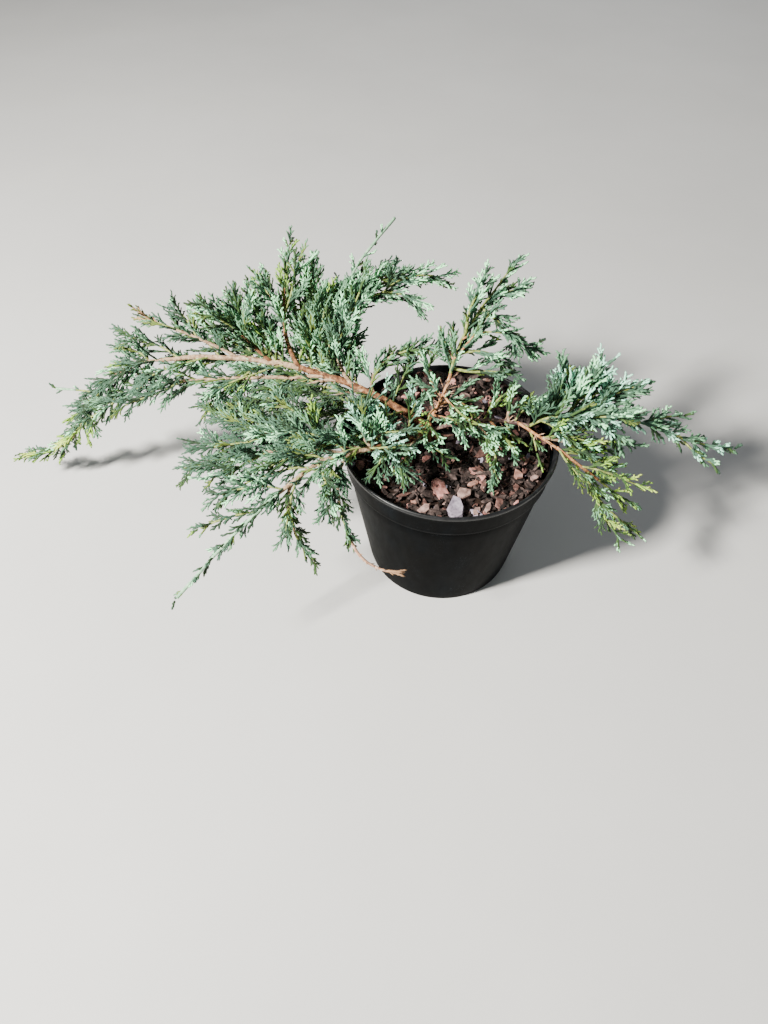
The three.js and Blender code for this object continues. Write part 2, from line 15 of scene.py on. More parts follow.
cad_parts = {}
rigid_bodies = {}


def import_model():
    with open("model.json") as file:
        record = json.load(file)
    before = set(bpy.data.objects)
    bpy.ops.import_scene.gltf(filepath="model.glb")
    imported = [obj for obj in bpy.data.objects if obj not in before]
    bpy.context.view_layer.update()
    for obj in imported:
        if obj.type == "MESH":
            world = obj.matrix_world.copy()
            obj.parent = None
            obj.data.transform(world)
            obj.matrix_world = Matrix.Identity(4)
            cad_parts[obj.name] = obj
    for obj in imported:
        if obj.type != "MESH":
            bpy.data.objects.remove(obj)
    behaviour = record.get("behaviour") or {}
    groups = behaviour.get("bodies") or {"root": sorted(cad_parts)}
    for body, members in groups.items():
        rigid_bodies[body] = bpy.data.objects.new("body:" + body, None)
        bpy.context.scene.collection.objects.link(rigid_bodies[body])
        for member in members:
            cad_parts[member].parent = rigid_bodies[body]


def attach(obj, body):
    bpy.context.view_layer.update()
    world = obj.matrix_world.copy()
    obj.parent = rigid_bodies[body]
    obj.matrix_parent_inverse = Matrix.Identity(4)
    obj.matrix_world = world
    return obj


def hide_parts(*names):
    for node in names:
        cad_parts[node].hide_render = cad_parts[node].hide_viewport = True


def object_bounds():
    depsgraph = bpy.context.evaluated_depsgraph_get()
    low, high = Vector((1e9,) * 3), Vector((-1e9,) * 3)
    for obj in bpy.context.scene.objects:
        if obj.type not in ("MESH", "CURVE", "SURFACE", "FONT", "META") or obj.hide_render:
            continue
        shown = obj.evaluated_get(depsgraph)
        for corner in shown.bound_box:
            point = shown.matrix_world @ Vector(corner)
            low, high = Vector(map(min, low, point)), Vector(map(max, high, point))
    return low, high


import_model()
cad_box = [list(corner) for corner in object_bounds()]

MM = 0.001
UP = np.array([0.0, 0.0, 1.0])
X_AXIS = np.array([1.0, 0.0, 0.0])
FULL_TURN = 2 * math.pi
PIECE_LIMIT = 190000
SOIL_SEED, CHIP_SEED, BARK_SEED, SPRAY_SEED, FIRST_MASS_SEED = 3, 17, 29, 41, 101

# Sizes that the part's source gives
POT_HEIGHT, RIM_RADIUS, BASE_RADIUS = 186, 114, 85
POT_WALL, POT_FLOOR, BAND_HEIGHT, BAND_STEP = 2, 3, 32, 2.5
DRAIN_HOLES, DRAIN_RADIUS, DRAIN_CIRCLE = 6, 6, 65
SOIL_TOP, MOUND, BUMP, WAVE_X, WAVE_Y = 170, 4, 2, 13, 10
CLEARANCE = 0.3
STEEP = 0.95
TRUNK = {
    "foot": (-20, 4), "length": 25, "heading": (200, 200, 205), "rise": (90, 82, 76),
    "foot_radius": 11, "radius": 6.8, "tip_radius": 3.4, "flare_share": 0.3,
}
SPRAY_SPACING, SPRAY_FORWARD, SPRAY_FORWARD_SPREAD = 18, 40, 10
SPRAY_TURN, SPRAY_TURN_SPREAD, SPRAY_ROLL_SPREAD, SPRAY_TIP_SHARE = 120, 12, 28, 0.85

# One shoot a row: name, parent and share of its length where it leaves, length, heading and rise in
# degrees at start, middle and tip, bare share and spray length. Then what only some rows have:
#   radii of the bare part;  mass that it belongs to, when not its own;  hue, its mass's palette;
#   bold, how much stouter its mass's cords are;  slim, share of a spray's length left at its tip;
#   gap, millimetres of shoot for each of the scene's own sprays;  leafy, share of the bare part where
#   these begin;  wood, its bark, and tan, share of the bare part where it turns tan;  thin, share of
#   its radii kept here;  twigs, its side twigs, and last, where the last leaves;  seen, the stretch
#   that the photograph shows bare;  pale, 1 where its end is mint green
SHOOT_TABLE = """
left_limb trunk 0.6 315 140,165,180 10,5,-10 1 0 radii=4.2,2.2 wood=red tan=0.5 seen=0.08,0.97
right_limb trunk 0.45 105 10,0,-25 15,5,0 1 0 radii=2.5,2.2 wood=purple thin=0.82 seen=0.45,1
front_limb trunk 0.45 130 -125,-155,-155 15,10,-5 1 0 radii=3.3,2.3 wood=red tan=0.6
leader_limb trunk 1 55 25,45,75 55,55,30 1 0 radii=2.4,1.9 wood=orange thin=0.82 seen=0.1,1
far_left left_limb 1 130 170,180,160 -5,-38,-55 0 48 twigs=2
far_left_tip far_left 1 160 160,180,175 -55,-43,10 0 38 hue=bright bold=1.1
lower_left left_limb 0.4 305 180,175,185 -5,-10,-40 0.35 46 radii=2.2,1.7 leafy=0.3 twigs=4 seen=0.03,0.5
upper_left left_limb 0.72 115 165,165,165 30,15,15 0.35 38 radii=1.9,1.6 twigs=1 seen=0.05,0.6
top_left left_limb 0.6 105 160,155,175 32,38,20 0.2 52 radii=2.2,1.8 hue=crown slim=0.5 gap=4.4 wood=red
    twigs=2 last=0.35 seen=0.02,0.25
top_left_fork top_left 0.3 62 110,115,125 42,35,15 0.1 46 mass=top_left slim=0.4 gap=4.2
top_centre left_limb 0.5 152 140,85,95 40,45,15 0.3 52 radii=2.6,1.9 hue=crown slim=0.3 gap=4.6
    leafy=0.8 wood=red twigs=1 seen=0.03,0.3
top_centre_fork top_centre 0.4 62 150,130,115 38,30,10 0.1 44 mass=top_centre slim=0.4 gap=4.2
top_shaded left_limb 0.4 130 135,90,125 35,45,0 0.15 48 radii=2.2,1.8 hue=crown gap=4.6 twigs=1
top_right left_limb 0.3 175 160,35,-30 35,35,-50 0.2 44 radii=2.2,1.8 hue=silvery twigs=1
whip top_right 0.35 160 100,55,65 40,25,10 0.1 28 mass=top_right slim=0.3 gap=9 seen=0.5,1 pale=1
middle left_limb 0.22 115 130,5,5 25,25,-15 0.1 36 radii=1.9,1.7 hue=crown bold=1.1 gap=4.6
inner_left left_limb 0.35 120 -190,-160,-220 0,-10,-20 0.15 44 radii=1.9,1.7 hue=shaded twigs=2
inner_low left_limb 0.25 110 -185,-145,-225 5,0,-30 0.15 46 radii=1.9,1.7 hue=shaded twigs=2
front_upper front_limb 0.65 200 175,155,120 15,-10,-10 0.12 48 radii=2.2,1.8 twigs=3
front_middle front_limb 0.8 180 170,175,170 5,-15,-25 0.12 48 radii=2.2,1.8 twigs=3
front_low front_limb 1 205 -140,-145,-130 -5,-30,-20 0.25 34 radii=2.4,1.9 slim=0.3 gap=6 pale=1
front_drooping front_low 0.15 110 -150,-50,-45 -40,-65,-25 0.12 38 radii=1.9,1.7 hue=shaded slim=0.5
    gap=6.5
rim_drooping front_limb 0.75 100 -135,-80,-55 0,-45,-50 0.15 34 radii=1.9,1.6 gap=4.8
dead_twig rim_drooping 0.95 65 -60,-20,15 -40,-25,-10 1 0 mass=rim_drooping wood=dead
upright front_limb 0.55 65 225,80,85 30,50,0 0.12 42 radii=1.9,1.7 hue=icy
upright_right upright 0.2 50 20,0,-20 30,15,0 0.1 34 mass=upright
foot front_limb 0.15 70 -100,-110,-75 25,10,-55 0.12 34 radii=1.9,1.6
leader leader_limb 1 145 80,45,70 35,35,5 0 38 hue=silvery bold=1.15 slim=0.48 gap=6 wood=green twigs=1
    seen=0.15,0.85
leader_low leader_limb 0.35 65 35,-30,-55 20,-20,-65 0.12 36 radii=1.9,1.7 hue=centre wood=orange
leader_right leader 0.5 90 -60,-5,25 10,-45,10 0.1 34 mass=leader gap=4.6 wood=green
leader_inner leader 0.12 65 25,-5,-20 20,-15,-60 0.1 32 mass=leader wood=green
leader_thin leader 0.04 70 -20,0,0 -5,0,-15 0.2 30 mass=leader slim=0.7 gap=6 wood=green
leader_left leader 0.3 65 80,60,55 80,40,15 0.1 34 mass=leader wood=green
leader_upper leader 0.55 45 20,15,65 35,10,10 0.1 32 mass=leader wood=green
right_long right_limb 1 240 10,-10,20 35,-15,-10 0 46 hue=icy bold=1.28 slim=0.35 gap=6 wood=green
    twigs=1
right_fan right_long 0.17 70 55,40,75 20,45,5 0.1 40 mass=right_long slim=0.45 gap=4.6 wood=green
right_crest right_long 0.3 65 75,15,45 35,20,5 0.1 38 mass=right_long slim=0.4 gap=4.6 wood=green
right_lower right_limb 0.88 165 -55,-20,-10 15,-32,-25 0.3 34 radii=2.2,1.7 hue=vivid slim=0.7 gap=7.5
    wood=orange thin=0.72 seen=0.02,0.55
right_fork right_lower 0.55 95 -80,-30,-30 -50,-30,-40 0.1 32 mass=right_lower slim=0.55 gap=8.5
    wood=green
right_sprig right_lower 0.2 80 5,0,20 -10,-15,-20 0.1 34 radii=1.7,1.5 hue=vivid gap=6
right_small right_limb 0.8 50 140,-5,-15 45,25,-20 0.12 34 radii=1.7,1.5 hue=centre
right_front right_limb 0.4 90 -65,-70,-140 40,-20,-20 0.15 34 radii=1.9,1.6 hue=centre
"""
# Small shoots close to the limbs, which are only here: the same row, with its mass for a name
SMALL_SHOOT_TABLE = """
leader_low leader_limb 0.15 55 -60,-40,-70 35,10,-30 0.1 34
leader_low leader_limb 0.3 50 -120,-100,-60 30,5,-35 0.1 32
leader_low leader_limb 0.6 60 -80,-50,-20 20,-10,-30 0.1 34
leader leader_limb 0.55 48 150,110,60 30,35,10 0.1 34
right_front right_limb 0.25 60 -50,-40,-20 35,0,-35 0.1 34
right_front right_limb 0.6 55 -80,-60,-40 30,-5,-40 0.1 32
right_small right_limb 0.55 55 60,40,20 35,20,0 0.1 34
upright front_limb 0.4 60 110,100,80 35,35,10 0.1 38
foot front_limb 0.3 60 -140,-120,-90 30,0,-40 0.1 34
foot front_limb 0.5 60 -80,-60,-70 30,5,-30 0.1 36
inner_low left_limb 0.1 70 -150,-130,-160 25,10,-15 0.1 40
middle left_limb 0.15 70 80,60,90 30,25,0 0.1 36
inner_left left_limb 0.48 95 -165,-150,-175 -15,-25,-30 0.1 44
inner_left left_limb 0.62 95 -160,-150,-180 -20,-25,-30 0.1 44
far_left left_limb 0.82 85 -160,-170,-190 0,-15,-35 0.1 42
far_left left_limb 0.93 75 150,160,180 20,10,-10 0.1 42
top_left left_limb 0.74 76 130,135,150 38,34,15 0.1 46 slim=0.5
top_shaded left_limb 0.45 92 120,100,95 30,38,10 0.1 46
top_centre left_limb 0.5 70 100,60,70 35,20,0 0.05 42
top_left left_limb 0.6 70 120,150,170 45,25,0 0.05 42
top_shaded left_limb 0.4 75 110,60,80 40,25,0 0.05 42
top_right left_limb 0.3 75 130,80,50 40,30,5 0.05 40
top_right top_right 0.5 80 70,20,-10 45,20,-20 0.05 42
upper_left left_limb 0.78 65 150,140,160 35,20,0 0.05 38
front_upper front_limb 0.4 90 -190,-170,-195 30,5,-25 0.05 44
front_middle front_limb 0.6 85 -170,-140,-165 25,-5,-30 0.05 42
front_low front_limb 0.85 70 -120,-90,-110 20,-15,-40 0.05 38
front_middle front_limb 0.95 75 -190,-160,-150 25,-5,-35 0.05 42
lower_left left_limb 0.42 95 -170,-165,-190 -15,-20,-30 0.05 44
lower_left left_limb 0.55 95 -155,-160,-180 5,-10,-25 0.05 44
right_long right_long 0.08 60 35,70,60 30,35,5 0.05 38 gap=4.8
right_long right_long 0.05 60 -30,-50,-30 10,-15,-30 0.05 36
right_long right_long 0.25 60 -50,-40,-10 10,-25,-35 0.05 34
far_left far_left 0.8 65 150,168,178 -5,-5,5 0.05 22 slim=0.4 gap=9 pale=1
top_left left_limb 0.55 100 150,120,125 40,42,15 0.1 46 slim=0.4 gap=4.4
top_centre left_limb 0.66 86 135,110,110 42,36,15 0.1 46 slim=0.4 gap=4.4
top_shaded left_limb 0.36 112 125,85,60 45,38,5 0.1 46 gap=4.6
top_shaded top_shaded 0.4 70 70,40,50 38,25,0 0.05 44 gap=4.6
top_right top_right 0.45 85 85,50,25 32,15,-10 0.05 42
top_right top_right 0.72 75 45,10,-5 25,5,-15 0.05 40
top_right top_right 0.6 80 60,20,0 25,0,-22 0.05 42
top_right top_right 0.35 92 85,45,15 35,12,-15 0.05 44
top_shaded left_limb 0.28 85 115,100,80 15,5,-15 0.05 44
top_shaded left_limb 0.35 62 118,112,120 10,2,-15 0.05 40
top_shaded left_limb 0.42 85 125,105,95 15,5,-15 0.05 44
top_shaded left_limb 0.54 85 125,110,100 15,5,-15 0.05 44
top_shaded left_limb 0.68 75 130,120,115 15,5,-15 0.05 42
top_left left_limb 0.58 88 140,110,105 38,36,10 0.05 44
top_centre left_limb 0.42 100 125,95,90 40,36,8 0.05 44
inner_left left_limb 0.32 85 160,165,170 -8,-15,-25 0.05 42
inner_left left_limb 0.48 85 160,165,170 -8,-15,-25 0.05 42
inner_left left_limb 0.64 80 162,168,172 -8,-15,-25 0.05 40
front_low front_low 0.38 72 178,186,190 -5,-22,-20 0.05 28
front_low front_low 0.05 100 -175,-165,-172 10,-15,-30 0.05 40
front_low front_low 0.22 75 -190,-175,-185 15,-10,-35 0.05 36
front_low front_low 0.12 70 -115,-100,-115 0,-35,-50 0.05 34
front_low front_low 0.02 60 -60,-80,-100 20,-10,-50 0.05 34
front_upper front_limb 0.78 85 -215,-190,-180 30,5,-20 0.05 44
front_upper front_limb 0.5 80 150,120,150 40,25,0 0.05 42
upright front_limb 0.6 55 -60,-30,10 45,30,10 0.05 38
upright front_limb 0.25 55 100,70,60 45,30,10 0.05 38
foot front_limb 0.2 55 -60,-40,-60 30,0,-30 0.05 34
leader leader 0.25 55 10,-10,-20 30,10,-15 0.05 32
leader leader 0.1 36 130,110,95 35,25,10 0.05 28
inner_low left_limb 0.16 75 -165,-175,-200 -5,-5,-20 0.05 42
inner_left left_limb 0.22 80 -140,-160,-185 -15,-15,-25 0.05 42
right_long right_long 0.12 58 60,45,30 25,30,10 0.05 40 gap=4.8
right_long right_long 0.2 56 45,30,25 25,20,0 0.05 40
right_long right_long 0.13 50 80,60,45 40,30,10 0.05 38 gap=4.8
right_long right_long 0.26 50 30,20,10 25,5,-5 0.05 38 slim=0.5 gap=5
right_long right_long 0.5 58 35,20,5 0,-8,-12 0.05 26 slim=0.5
right_long right_long 0.66 52 -50,-32,-12 -20,-22,-10 0.05 22 slim=0.5
right_lower right_lower 0.2 66 15,-5,-10 12,-12,-22 0.05 34
right_lower right_lower 0.32 52 -75,-50,-20 0,-20,-30 0.05 30
right_lower right_lower 0.36 60 10,-5,-15 0,-20,-30 0.05 32
right_sprig right_limb 0.75 46 -80,-70,-60 15,-25,-60 0.05 30
right_sprig right_limb 0.95 44 -60,-70,-60 10,-35,-60 0.05 30
right_sprig right_limb 0.85 48 60,30,10 35,15,-10 0.05 32
right_lower right_lower 0.5 75 -5,-10,5 0,-20,-20 0.05 32
right_lower right_fork 0.3 60 -75,-50,-30 -40,-30,-40 0.05 30
"""
ROW_KEYS = ("name", "parent", "at", "length", "heading", "rise", "bare", "spray")
PLAIN_SHOOT = {
    "small": False, "radii": None, "mass": None, "hue": "blue", "bold": 1, "slim": None, "gap": 5.2,
    "leafy": None, "wood": "tan", "tan": 1, "thin": 1, "twigs": 0, "last": 0.62, "seen": None, "pale": 0,
}
SIDE_TWIG = {"length": 0.5, "longest": 85, "first": 0.1, "turn": (48, 30, 12), "rise": (12, 4, -8)}


def read_cell(text):
    """A word, a number or several numbers."""
    if text[0].isalpha():
        return text
    numbers = [float(part) for part in text.split(",")]
    return numbers if len(numbers) > 1 else numbers[0]


def read_shoots(table):
    """The table's rows, where an indented line carries on the one above it."""
    made = []
    for row in table.strip().replace("\n ", " ").split("\n"):
        cells = row.split()
        pairs = [*zip(ROW_KEYS, cells), *(cell.split("=") for cell in cells[len(ROW_KEYS):])]
        made.append({**PLAIN_SHOOT, **{key: read_cell(value) for key, value in pairs}})
    return made


shoots = read_shoots(SHOOT_TABLE)
small_shoots = read_shoots(SMALL_SHOOT_TABLE)
for number, shoot in enumerate(small_shoots):
    shoot.update(name=f"{shoot['name']}_small_{number}", mass=shoot["name"], small=True)
shoot_named = {shoot["name"]: shoot for shoot in shoots}

# Camera at the photograph's viewing angle, and soft studio light
SENSOR, FOCAL_SHARE, CAMERA_PITCH = 36, 700 / 1024, 50.76
CAMERA_AT = Vector((-68.3, -525.6, 700.9)) * MM
AIM = Vector((-0.08, 0.0, 0.17))
# Name, direction from the plant, distance and width in metres, energy and colour
LIGHTS = [
    ("key_light", (-0.72, -0.4, 0.68), 2.4, 0.3, 312, (1.0, 0.965, 0.9)),
    ("fill_light", (0.75, -0.6, 0.7), 2.6, 2.4, 6, (0.9, 0.95, 1.0)),
    ("back_light", (0.25, 0.9, 0.5), 2.6, 2.2, 14, (0.95, 0.97, 1.0)),
]
SKY_COLOUR, SKY_STRENGTH = (0.86, 0.9, 0.95, 1), 0.2
link = bpy.context.scene.collection.objects.link

camera_data = bpy.data.cameras.new("camera")
camera_data.sensor_width = SENSOR
camera_data.lens = SENSOR * FOCAL_SHARE
camera = bpy.data.objects.new("camera", camera_data)
camera.location = CAMERA_AT
camera.rotation_euler = (math.radians(90 - CAMERA_PITCH), 0, 0)
link(camera)
bpy.context.scene.camera = camera
for name, towards, distance, size, energy, colour in LIGHTS:
    data = bpy.data.lights.new(name, "AREA")
    data.size, data.energy, data.color = size, energy, colour
    light = bpy.data.objects.new(name, data)
    direction = Vector(towards).normalized()
    light.location = AIM + direction * distance
    light.rotation_mode = "QUATERNION"
    light.rotation_quaternion = direction.to_track_quat("Z", "Y")
    link(light)
world = bpy.data.worlds.new("studio")
world.use_nodes = True
world.node_tree.nodes["Background"].inputs["Color"].default_value = SKY_COLOUR
world.node_tree.nodes["Background"].inputs["Strength"].default_value = SKY_STRENGTH
bpy.context.scene.world = world

# Materials
NOISE_ROUGHNESS, RELIEF_DEPTH = 0.62, 0.4 * MM
COLOUR_DETAIL, RELIEF_DETAIL, DUST_DETAIL = 6, 4, 3


def linear(colour):
    """Hex sRGB to the linear values that a shader takes."""
    parts = [int(colour[i:i + 2], 16) / 255 for i in (0, 2, 4)]
    return tuple(p / 12.92 if p <= 0.04045 else ((p + 0.055) / 1.055) ** 2.4 for p in parts) + (1.0,)


def set_inputs(tree, node, inputs):
    """Sets a node's inputs, or links those whose value is another node's output."""
    for name, value in inputs.items():
        if isinstance(value, bpy.types.NodeSocket):
            tree.links.new(value, node.inputs[name])
        else:
            node.inputs[name].default_value = value


def add_node(tree, kind, output, inputs):
    """A new node with its inputs set, and the output that is wanted of it."""
    node = tree.nodes.new("ShaderNode" + kind)
    set_inputs(tree, node, inputs)
    return node.outputs[output]


def add_noise(tree, scale, detail, stretch=(1, 1, 1)):
    """Noise over the piece's own coordinates, in cycles per metre."""
    place = add_node(tree, "TexCoord", "Object", {})
    squeezed = add_node(tree, "Mapping", "Vector", {"Vector": place, "Scale": stretch})
    return add_node(tree, "TexNoise", "Fac", {
        "Vector": squeezed, "Scale": scale, "Detail": detail, "Roughness": NOISE_ROUGHNESS})


def add_ramp(tree, value, stops):
    """Colours at places along a value."""
    ramp = tree.nodes.new("ShaderNodeValToRGB")
    elements = ramp.color_ramp.elements
    cells = stops.split()
    while len(elements) < len(cells) // 2:
        elements.new(0.5)
    for element, place, colour in zip(elements, cells[::2], cells[1::2]):
        element.position = float(place)
        element.color = linear(colour)
    set_inputs(tree, ramp, {"Fac": value})
    return ramp.outputs["Color"]


def make_material(name, stops, grain, roughness, bump, specular=0.35, sheen=0.0, stretch=(1, 1, 1)):
    """A procedural finish: one plain colour, or stops of a place and a colour spread by noise."""
    made = bpy.data.materials.new(name)
    made.use_nodes = True
    tree = made.node_tree
    if " " in stops:
        colour = add_ramp(tree, add_noise(tree, grain, COLOUR_DETAIL, stretch), stops)
    else:
        colour = linear(stops)
    fine = add_noise(tree, grain * 3, RELIEF_DETAIL, stretch)
    set_inputs(tree, tree.nodes["Principled BSDF"], {
        "Base Color": colour, "Specular IOR Level": specular, "Sheen Weight": sheen,
        "Roughness": add_node(tree, "MapRange", "Result", {
            "Value": fine, "To Min": roughness[0], "To Max": roughness[1]}),
        "Normal": add_node(tree, "Bump", "Normal", {
            "Height": fine, "Strength": bump, "Distance": RELIEF_DEPTH}),
    })
    return made


def add_dust(material, colour, patch, speck):
    """Pale specks, thicker in some patches than in others, over a finish that is already there."""
    tree = material.node_tree
    base = tree.nodes["Principled BSDF"].inputs["Base Color"]
    cover = tree.nodes.new("ShaderNodeMath")
    cover.operation = "MULTIPLY"
    set_inputs(tree, cover, {
        place: add_node(tree, "MapRange", "Result", {
            "Value": add_noise(tree, scale, DUST_DETAIL), "From Min": low, "From Max": high})
        for place, (scale, low, high) in enumerate((patch, speck))})
    mixed = tree.nodes.new("ShaderNodeMix")
    mixed.data_type = "RGBA"
    set_inputs(tree, mixed, {
        "Factor": cover.outputs["Value"], "A": base.links[0].from_socket, "B": linear(colour)})
    tree.links.new(mixed.outputs["Result"], base)


FOLIAGE_SHADES = {
    "foliage_blue": {"silver": "a2e9ae", "ice": "a6e6c8", "frost": "608e6a", "blue_green": "3e604b"},
    "foliage_shaded": {
        "sea_green": "2c4834", "leaf_green": "344f24", "deep_green": "1c3219", "olive": "5c6d2c",
        "dead_brown": "a5805f"},
    "foliage_bright": {"yellow_green": "84ab3e", "lime": "b8ca5c"},
}
foliage_materials, foliage_slots = {}, {}
for slot, shades in FOLIAGE_SHADES.items():
    for shade, colour in shades.items():
        kind = "foliage_" + shade
        foliage_slots[kind] = slot
        foliage_materials[kind] = make_material(
            kind, colour, grain=600, roughness=(0.5, 0.75), bump=0.5, specular=0.22, sheen=0.08)
BARK_STOPS = {
    "bark_red": "0.3 281810 0.44 593824 0.58 885e3e 0.72 b8926c",
    "bark_purple": "0.3 2a1d1b 0.46 574240 0.6 82695f 0.76 ab9384",
    "bark_tan": "0.3 54402f 0.45 8d735a 0.6 af967a 0.76 cebb9f",
    "bark_orange": "0.3 583824 0.45 996742 0.6 be8d63 0.76 deb996",
    "bark_green": "0.3 556030 0.5 828e4c 0.7 aeb070",
    "bark_mint": "0.3 5f8468 0.5 88b08e 0.7 b0d2ad",
    "bark_dead": "0.3 765645 0.5 ad876e 0.7 dabda7",
}
bark_materials = {
    name: make_material(name, stops, grain=260, roughness=(0.7, 0.95), bump=0.9, specular=0.25)
    for name, stops in BARK_STOPS.items()
}
CHIP_STOPS = {
    "chip_dark": "0.3 0b0908 0.55 1a1412 0.75 2e2421",
    "chip_brown": "0.3 191413 0.5 372d2a 0.72 5f504c",
    "chip_red": "0.3 2a1a17 0.5 543b35 0.72 815f57",
    "chip_tan": "0.3 4a3833 0.5 806861 0.72 b09387",
    "chip_pink": "0.3 70463f 0.5 a8756d 0.72 cf9f95",
    "chip_lilac": "0.3 574e5a 0.5 7f7682 0.72 a198a3",
    "chip_orange": "0.3 583c32 0.5 846054 0.72 ab8a7e",
}
chip_materials = {
    name: make_material(
        name, stops, grain=180, roughness=(0.75, 0.98), bump=0.8, specular=0.2, stretch=(1, 1, 2))
    for name, stops in CHIP_STOPS.items()
}
soil_material = make_material(
    "soil_bed", "0.3 0b0807 0.5 1a120e 0.75 33241d", 220, (0.85, 1), bump=1, specular=0.1)
pot_material = make_material(
    "pot_plastic", "0.36 010101 0.5 010203 0.62 020406 0.8 070b0f", 38, (0.42, 0.6),
    bump=0.3, specular=0.025, stretch=(1, 1, 0.35))
add_dust(pot_material, "5c666f", (32, 0.5, 0.8), (1100, 0.62, 0.74))
# The ledge under the band: painted lighter than the pot as a faint painted highlight line.
ledge_painted_highlight_material = make_material(
    "pot_ledge_painted_highlight", "0.4 020304 0.55 07080a 0.7 15171a", 30, (0.45, 0.65), bump=0.3, specular=0.06)
# The lip: glossier plastic, and painted lighter than the pot as a painted highlight along the rim.
lip_painted_highlight_material = make_material(
    "pot_lip_painted_highlight", "0.35 0a0b0c 0.55 161719 0.75 2b2d2f", 90, (0.3, 0.5), bump=0.3, specular=0.28)
floor_material = make_material(
    "floor", "0.3 b8b8b6 0.7 c0c0be", 2, (0.8, 0.95), bump=0.05, specular=0.2)

# Meshes
FLOOR_REACH = 9e3


def make_piece(name, points, faces, materials, smooth=True, face_materials=None):
    """A mesh from rows of points in millimetres and rows of corner numbers."""
    mesh = bpy.data.meshes.new(name)
    mesh.vertices.add(len(points))
    mesh.vertices.foreach_set("co", (points * MM).astype(np.float32).ravel())
    mesh.loops.add(faces.size)
    mesh.loops.foreach_set("vertex_index", faces.astype(np.int32).ravel())
    mesh.polygons.add(len(faces))
    mesh.polygons.foreach_set("loop_start", np.arange(0, faces.size, faces.shape[1], dtype=np.int32))
    mesh.polygons.foreach_set("use_smooth", np.full(len(faces), smooth))
    if face_materials is not None:
        mesh.polygons.foreach_set("material_index", face_materials.astype(np.int32))
    mesh.update(calc_edges=True)
    mesh.validate()
    for material in materials:
        mesh.materials.append(material)
    piece = bpy.data.objects.new(name, mesh)
    link(piece)
    return piece


def dress(piece, nodes):
    """The piece rides on the part and stands for CAD nodes, which it hides."""
    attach(piece, "root")
    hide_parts(*sorted(nodes))


def angles_round(count):
    return np.arange(count) / count * FULL_TURN


def ring_faces(rings, sides, first=0):
    """Triangles between one ring of points more than `rings`, from the point numbered first on."""
    row, j = np.divmod(np.arange(rings * sides), sides)
    a, k = first + row * sides, (j + 1) % sides
    b = a + sides
    return np.vstack([np.stack([a + j, b + j, b + k], 1), np.stack([a + j, b + k, a + k], 1)])


floor_corners = [(x * FLOOR_REACH, y * FLOOR_REACH, 0) for x, y in ((-1, -1), (1, -1), (1, 1), (-1, 1))]
floor = make_piece("floor", np.array(floor_corners), np.array([[0, 1, 2, 3]]), [floor_material])

# Pot
POT_SEGMENTS, LIP, LEDGE, ROUNDING = 192, 1.6, 0.9, 2
HOLE_SEGMENTS, HOLE_DEPTH = 28, 20
OUT_OF_ROUND = 0.25
AXIS_GAP = 0.01
# Finishes of the pot's faces: plain, the lip's painted highlight and the ledge's faint painted highlight
# line
PLAIN, SHINY_PAINTED_HIGHLIGHT, FAINT_PAINTED_HIGHLIGHT = 0, 1, 2
band_bottom = POT_HEIGHT - BAND_HEIGHT


def pot_radius_at(z):
    """Outside of the tapered body, with no band."""
    return BASE_RADIUS + (RIM_RADIUS - BAND_STEP - BASE_RADIUS) * z / POT_HEIGHT


def arc(centre, radius, start, end, steps):
    """Points round a circle in the profile, angles in degrees."""
    angles = np.radians(np.linspace(start, end, steps))
    return [(centre[0] + radius * math.cos(a), centre[1] + radius * math.sin(a)) for a in angles]


def pot_profile():
    """Parts of the outline from the underside's middle up, over the lip and down inside, with finishes: the
    ledge's and the lip's are painted highlights.
    """
    foot, waist = pot_radius_at(0), pot_radius_at(band_bottom)
    band_foot = waist + BAND_STEP
    body = [(AXIS_GAP, 0), (foot - 14, 0), (foot - 12, 0.6), (foot - 5, 0.6), (foot - 4, 0)]
    body += arc((foot - ROUNDING - 0.2, ROUNDING), ROUNDING, -90, -8, 6)
    body += [(pot_radius_at(z), z) for z in np.linspace(8, band_bottom - 6, 14)]
    body += [(waist - 1, band_bottom - 2.5), (waist - 1, band_bottom - 0.6)]
    body += arc((waist, band_bottom - 0.6), 1, 180, 90, 4)
    ledge = arc((band_foot - LEDGE, band_bottom + 1.5), LEDGE, -90, 0, 5)
    band = [(band_foot + (RIM_RADIUS - LIP - band_foot) * share, band_bottom + 3 + (BAND_HEIGHT - 9) * share)
            for share in np.linspace(0, 1, 7)]
    lip = arc((RIM_RADIUS - 1.2, POT_HEIGHT - 3.4), 1.2, -80, 0, 4)
    lip += arc((RIM_RADIUS - LIP, POT_HEIGHT - LIP), LIP, 10, 170, 9)
    heights = [POT_HEIGHT - 6, *np.linspace(POT_HEIGHT - 16, POT_FLOOR + 3, 8)]
    inside = [(pot_radius_at(z) - POT_WALL, z) for z in heights]
    inside += [(pot_radius_at(POT_FLOOR) - POT_WALL - 3, POT_FLOOR), (AXIS_GAP, POT_FLOOR)]
    parts = (body, ledge, band, lip, inside)
    finishes = np.repeat([PLAIN, FAINT_PAINTED_HIGHLIGHT, PLAIN, SHINY_PAINTED_HIGHLIGHT, PLAIN], [len(part) for part in parts])
    return np.array(sum(parts, [])), finishes


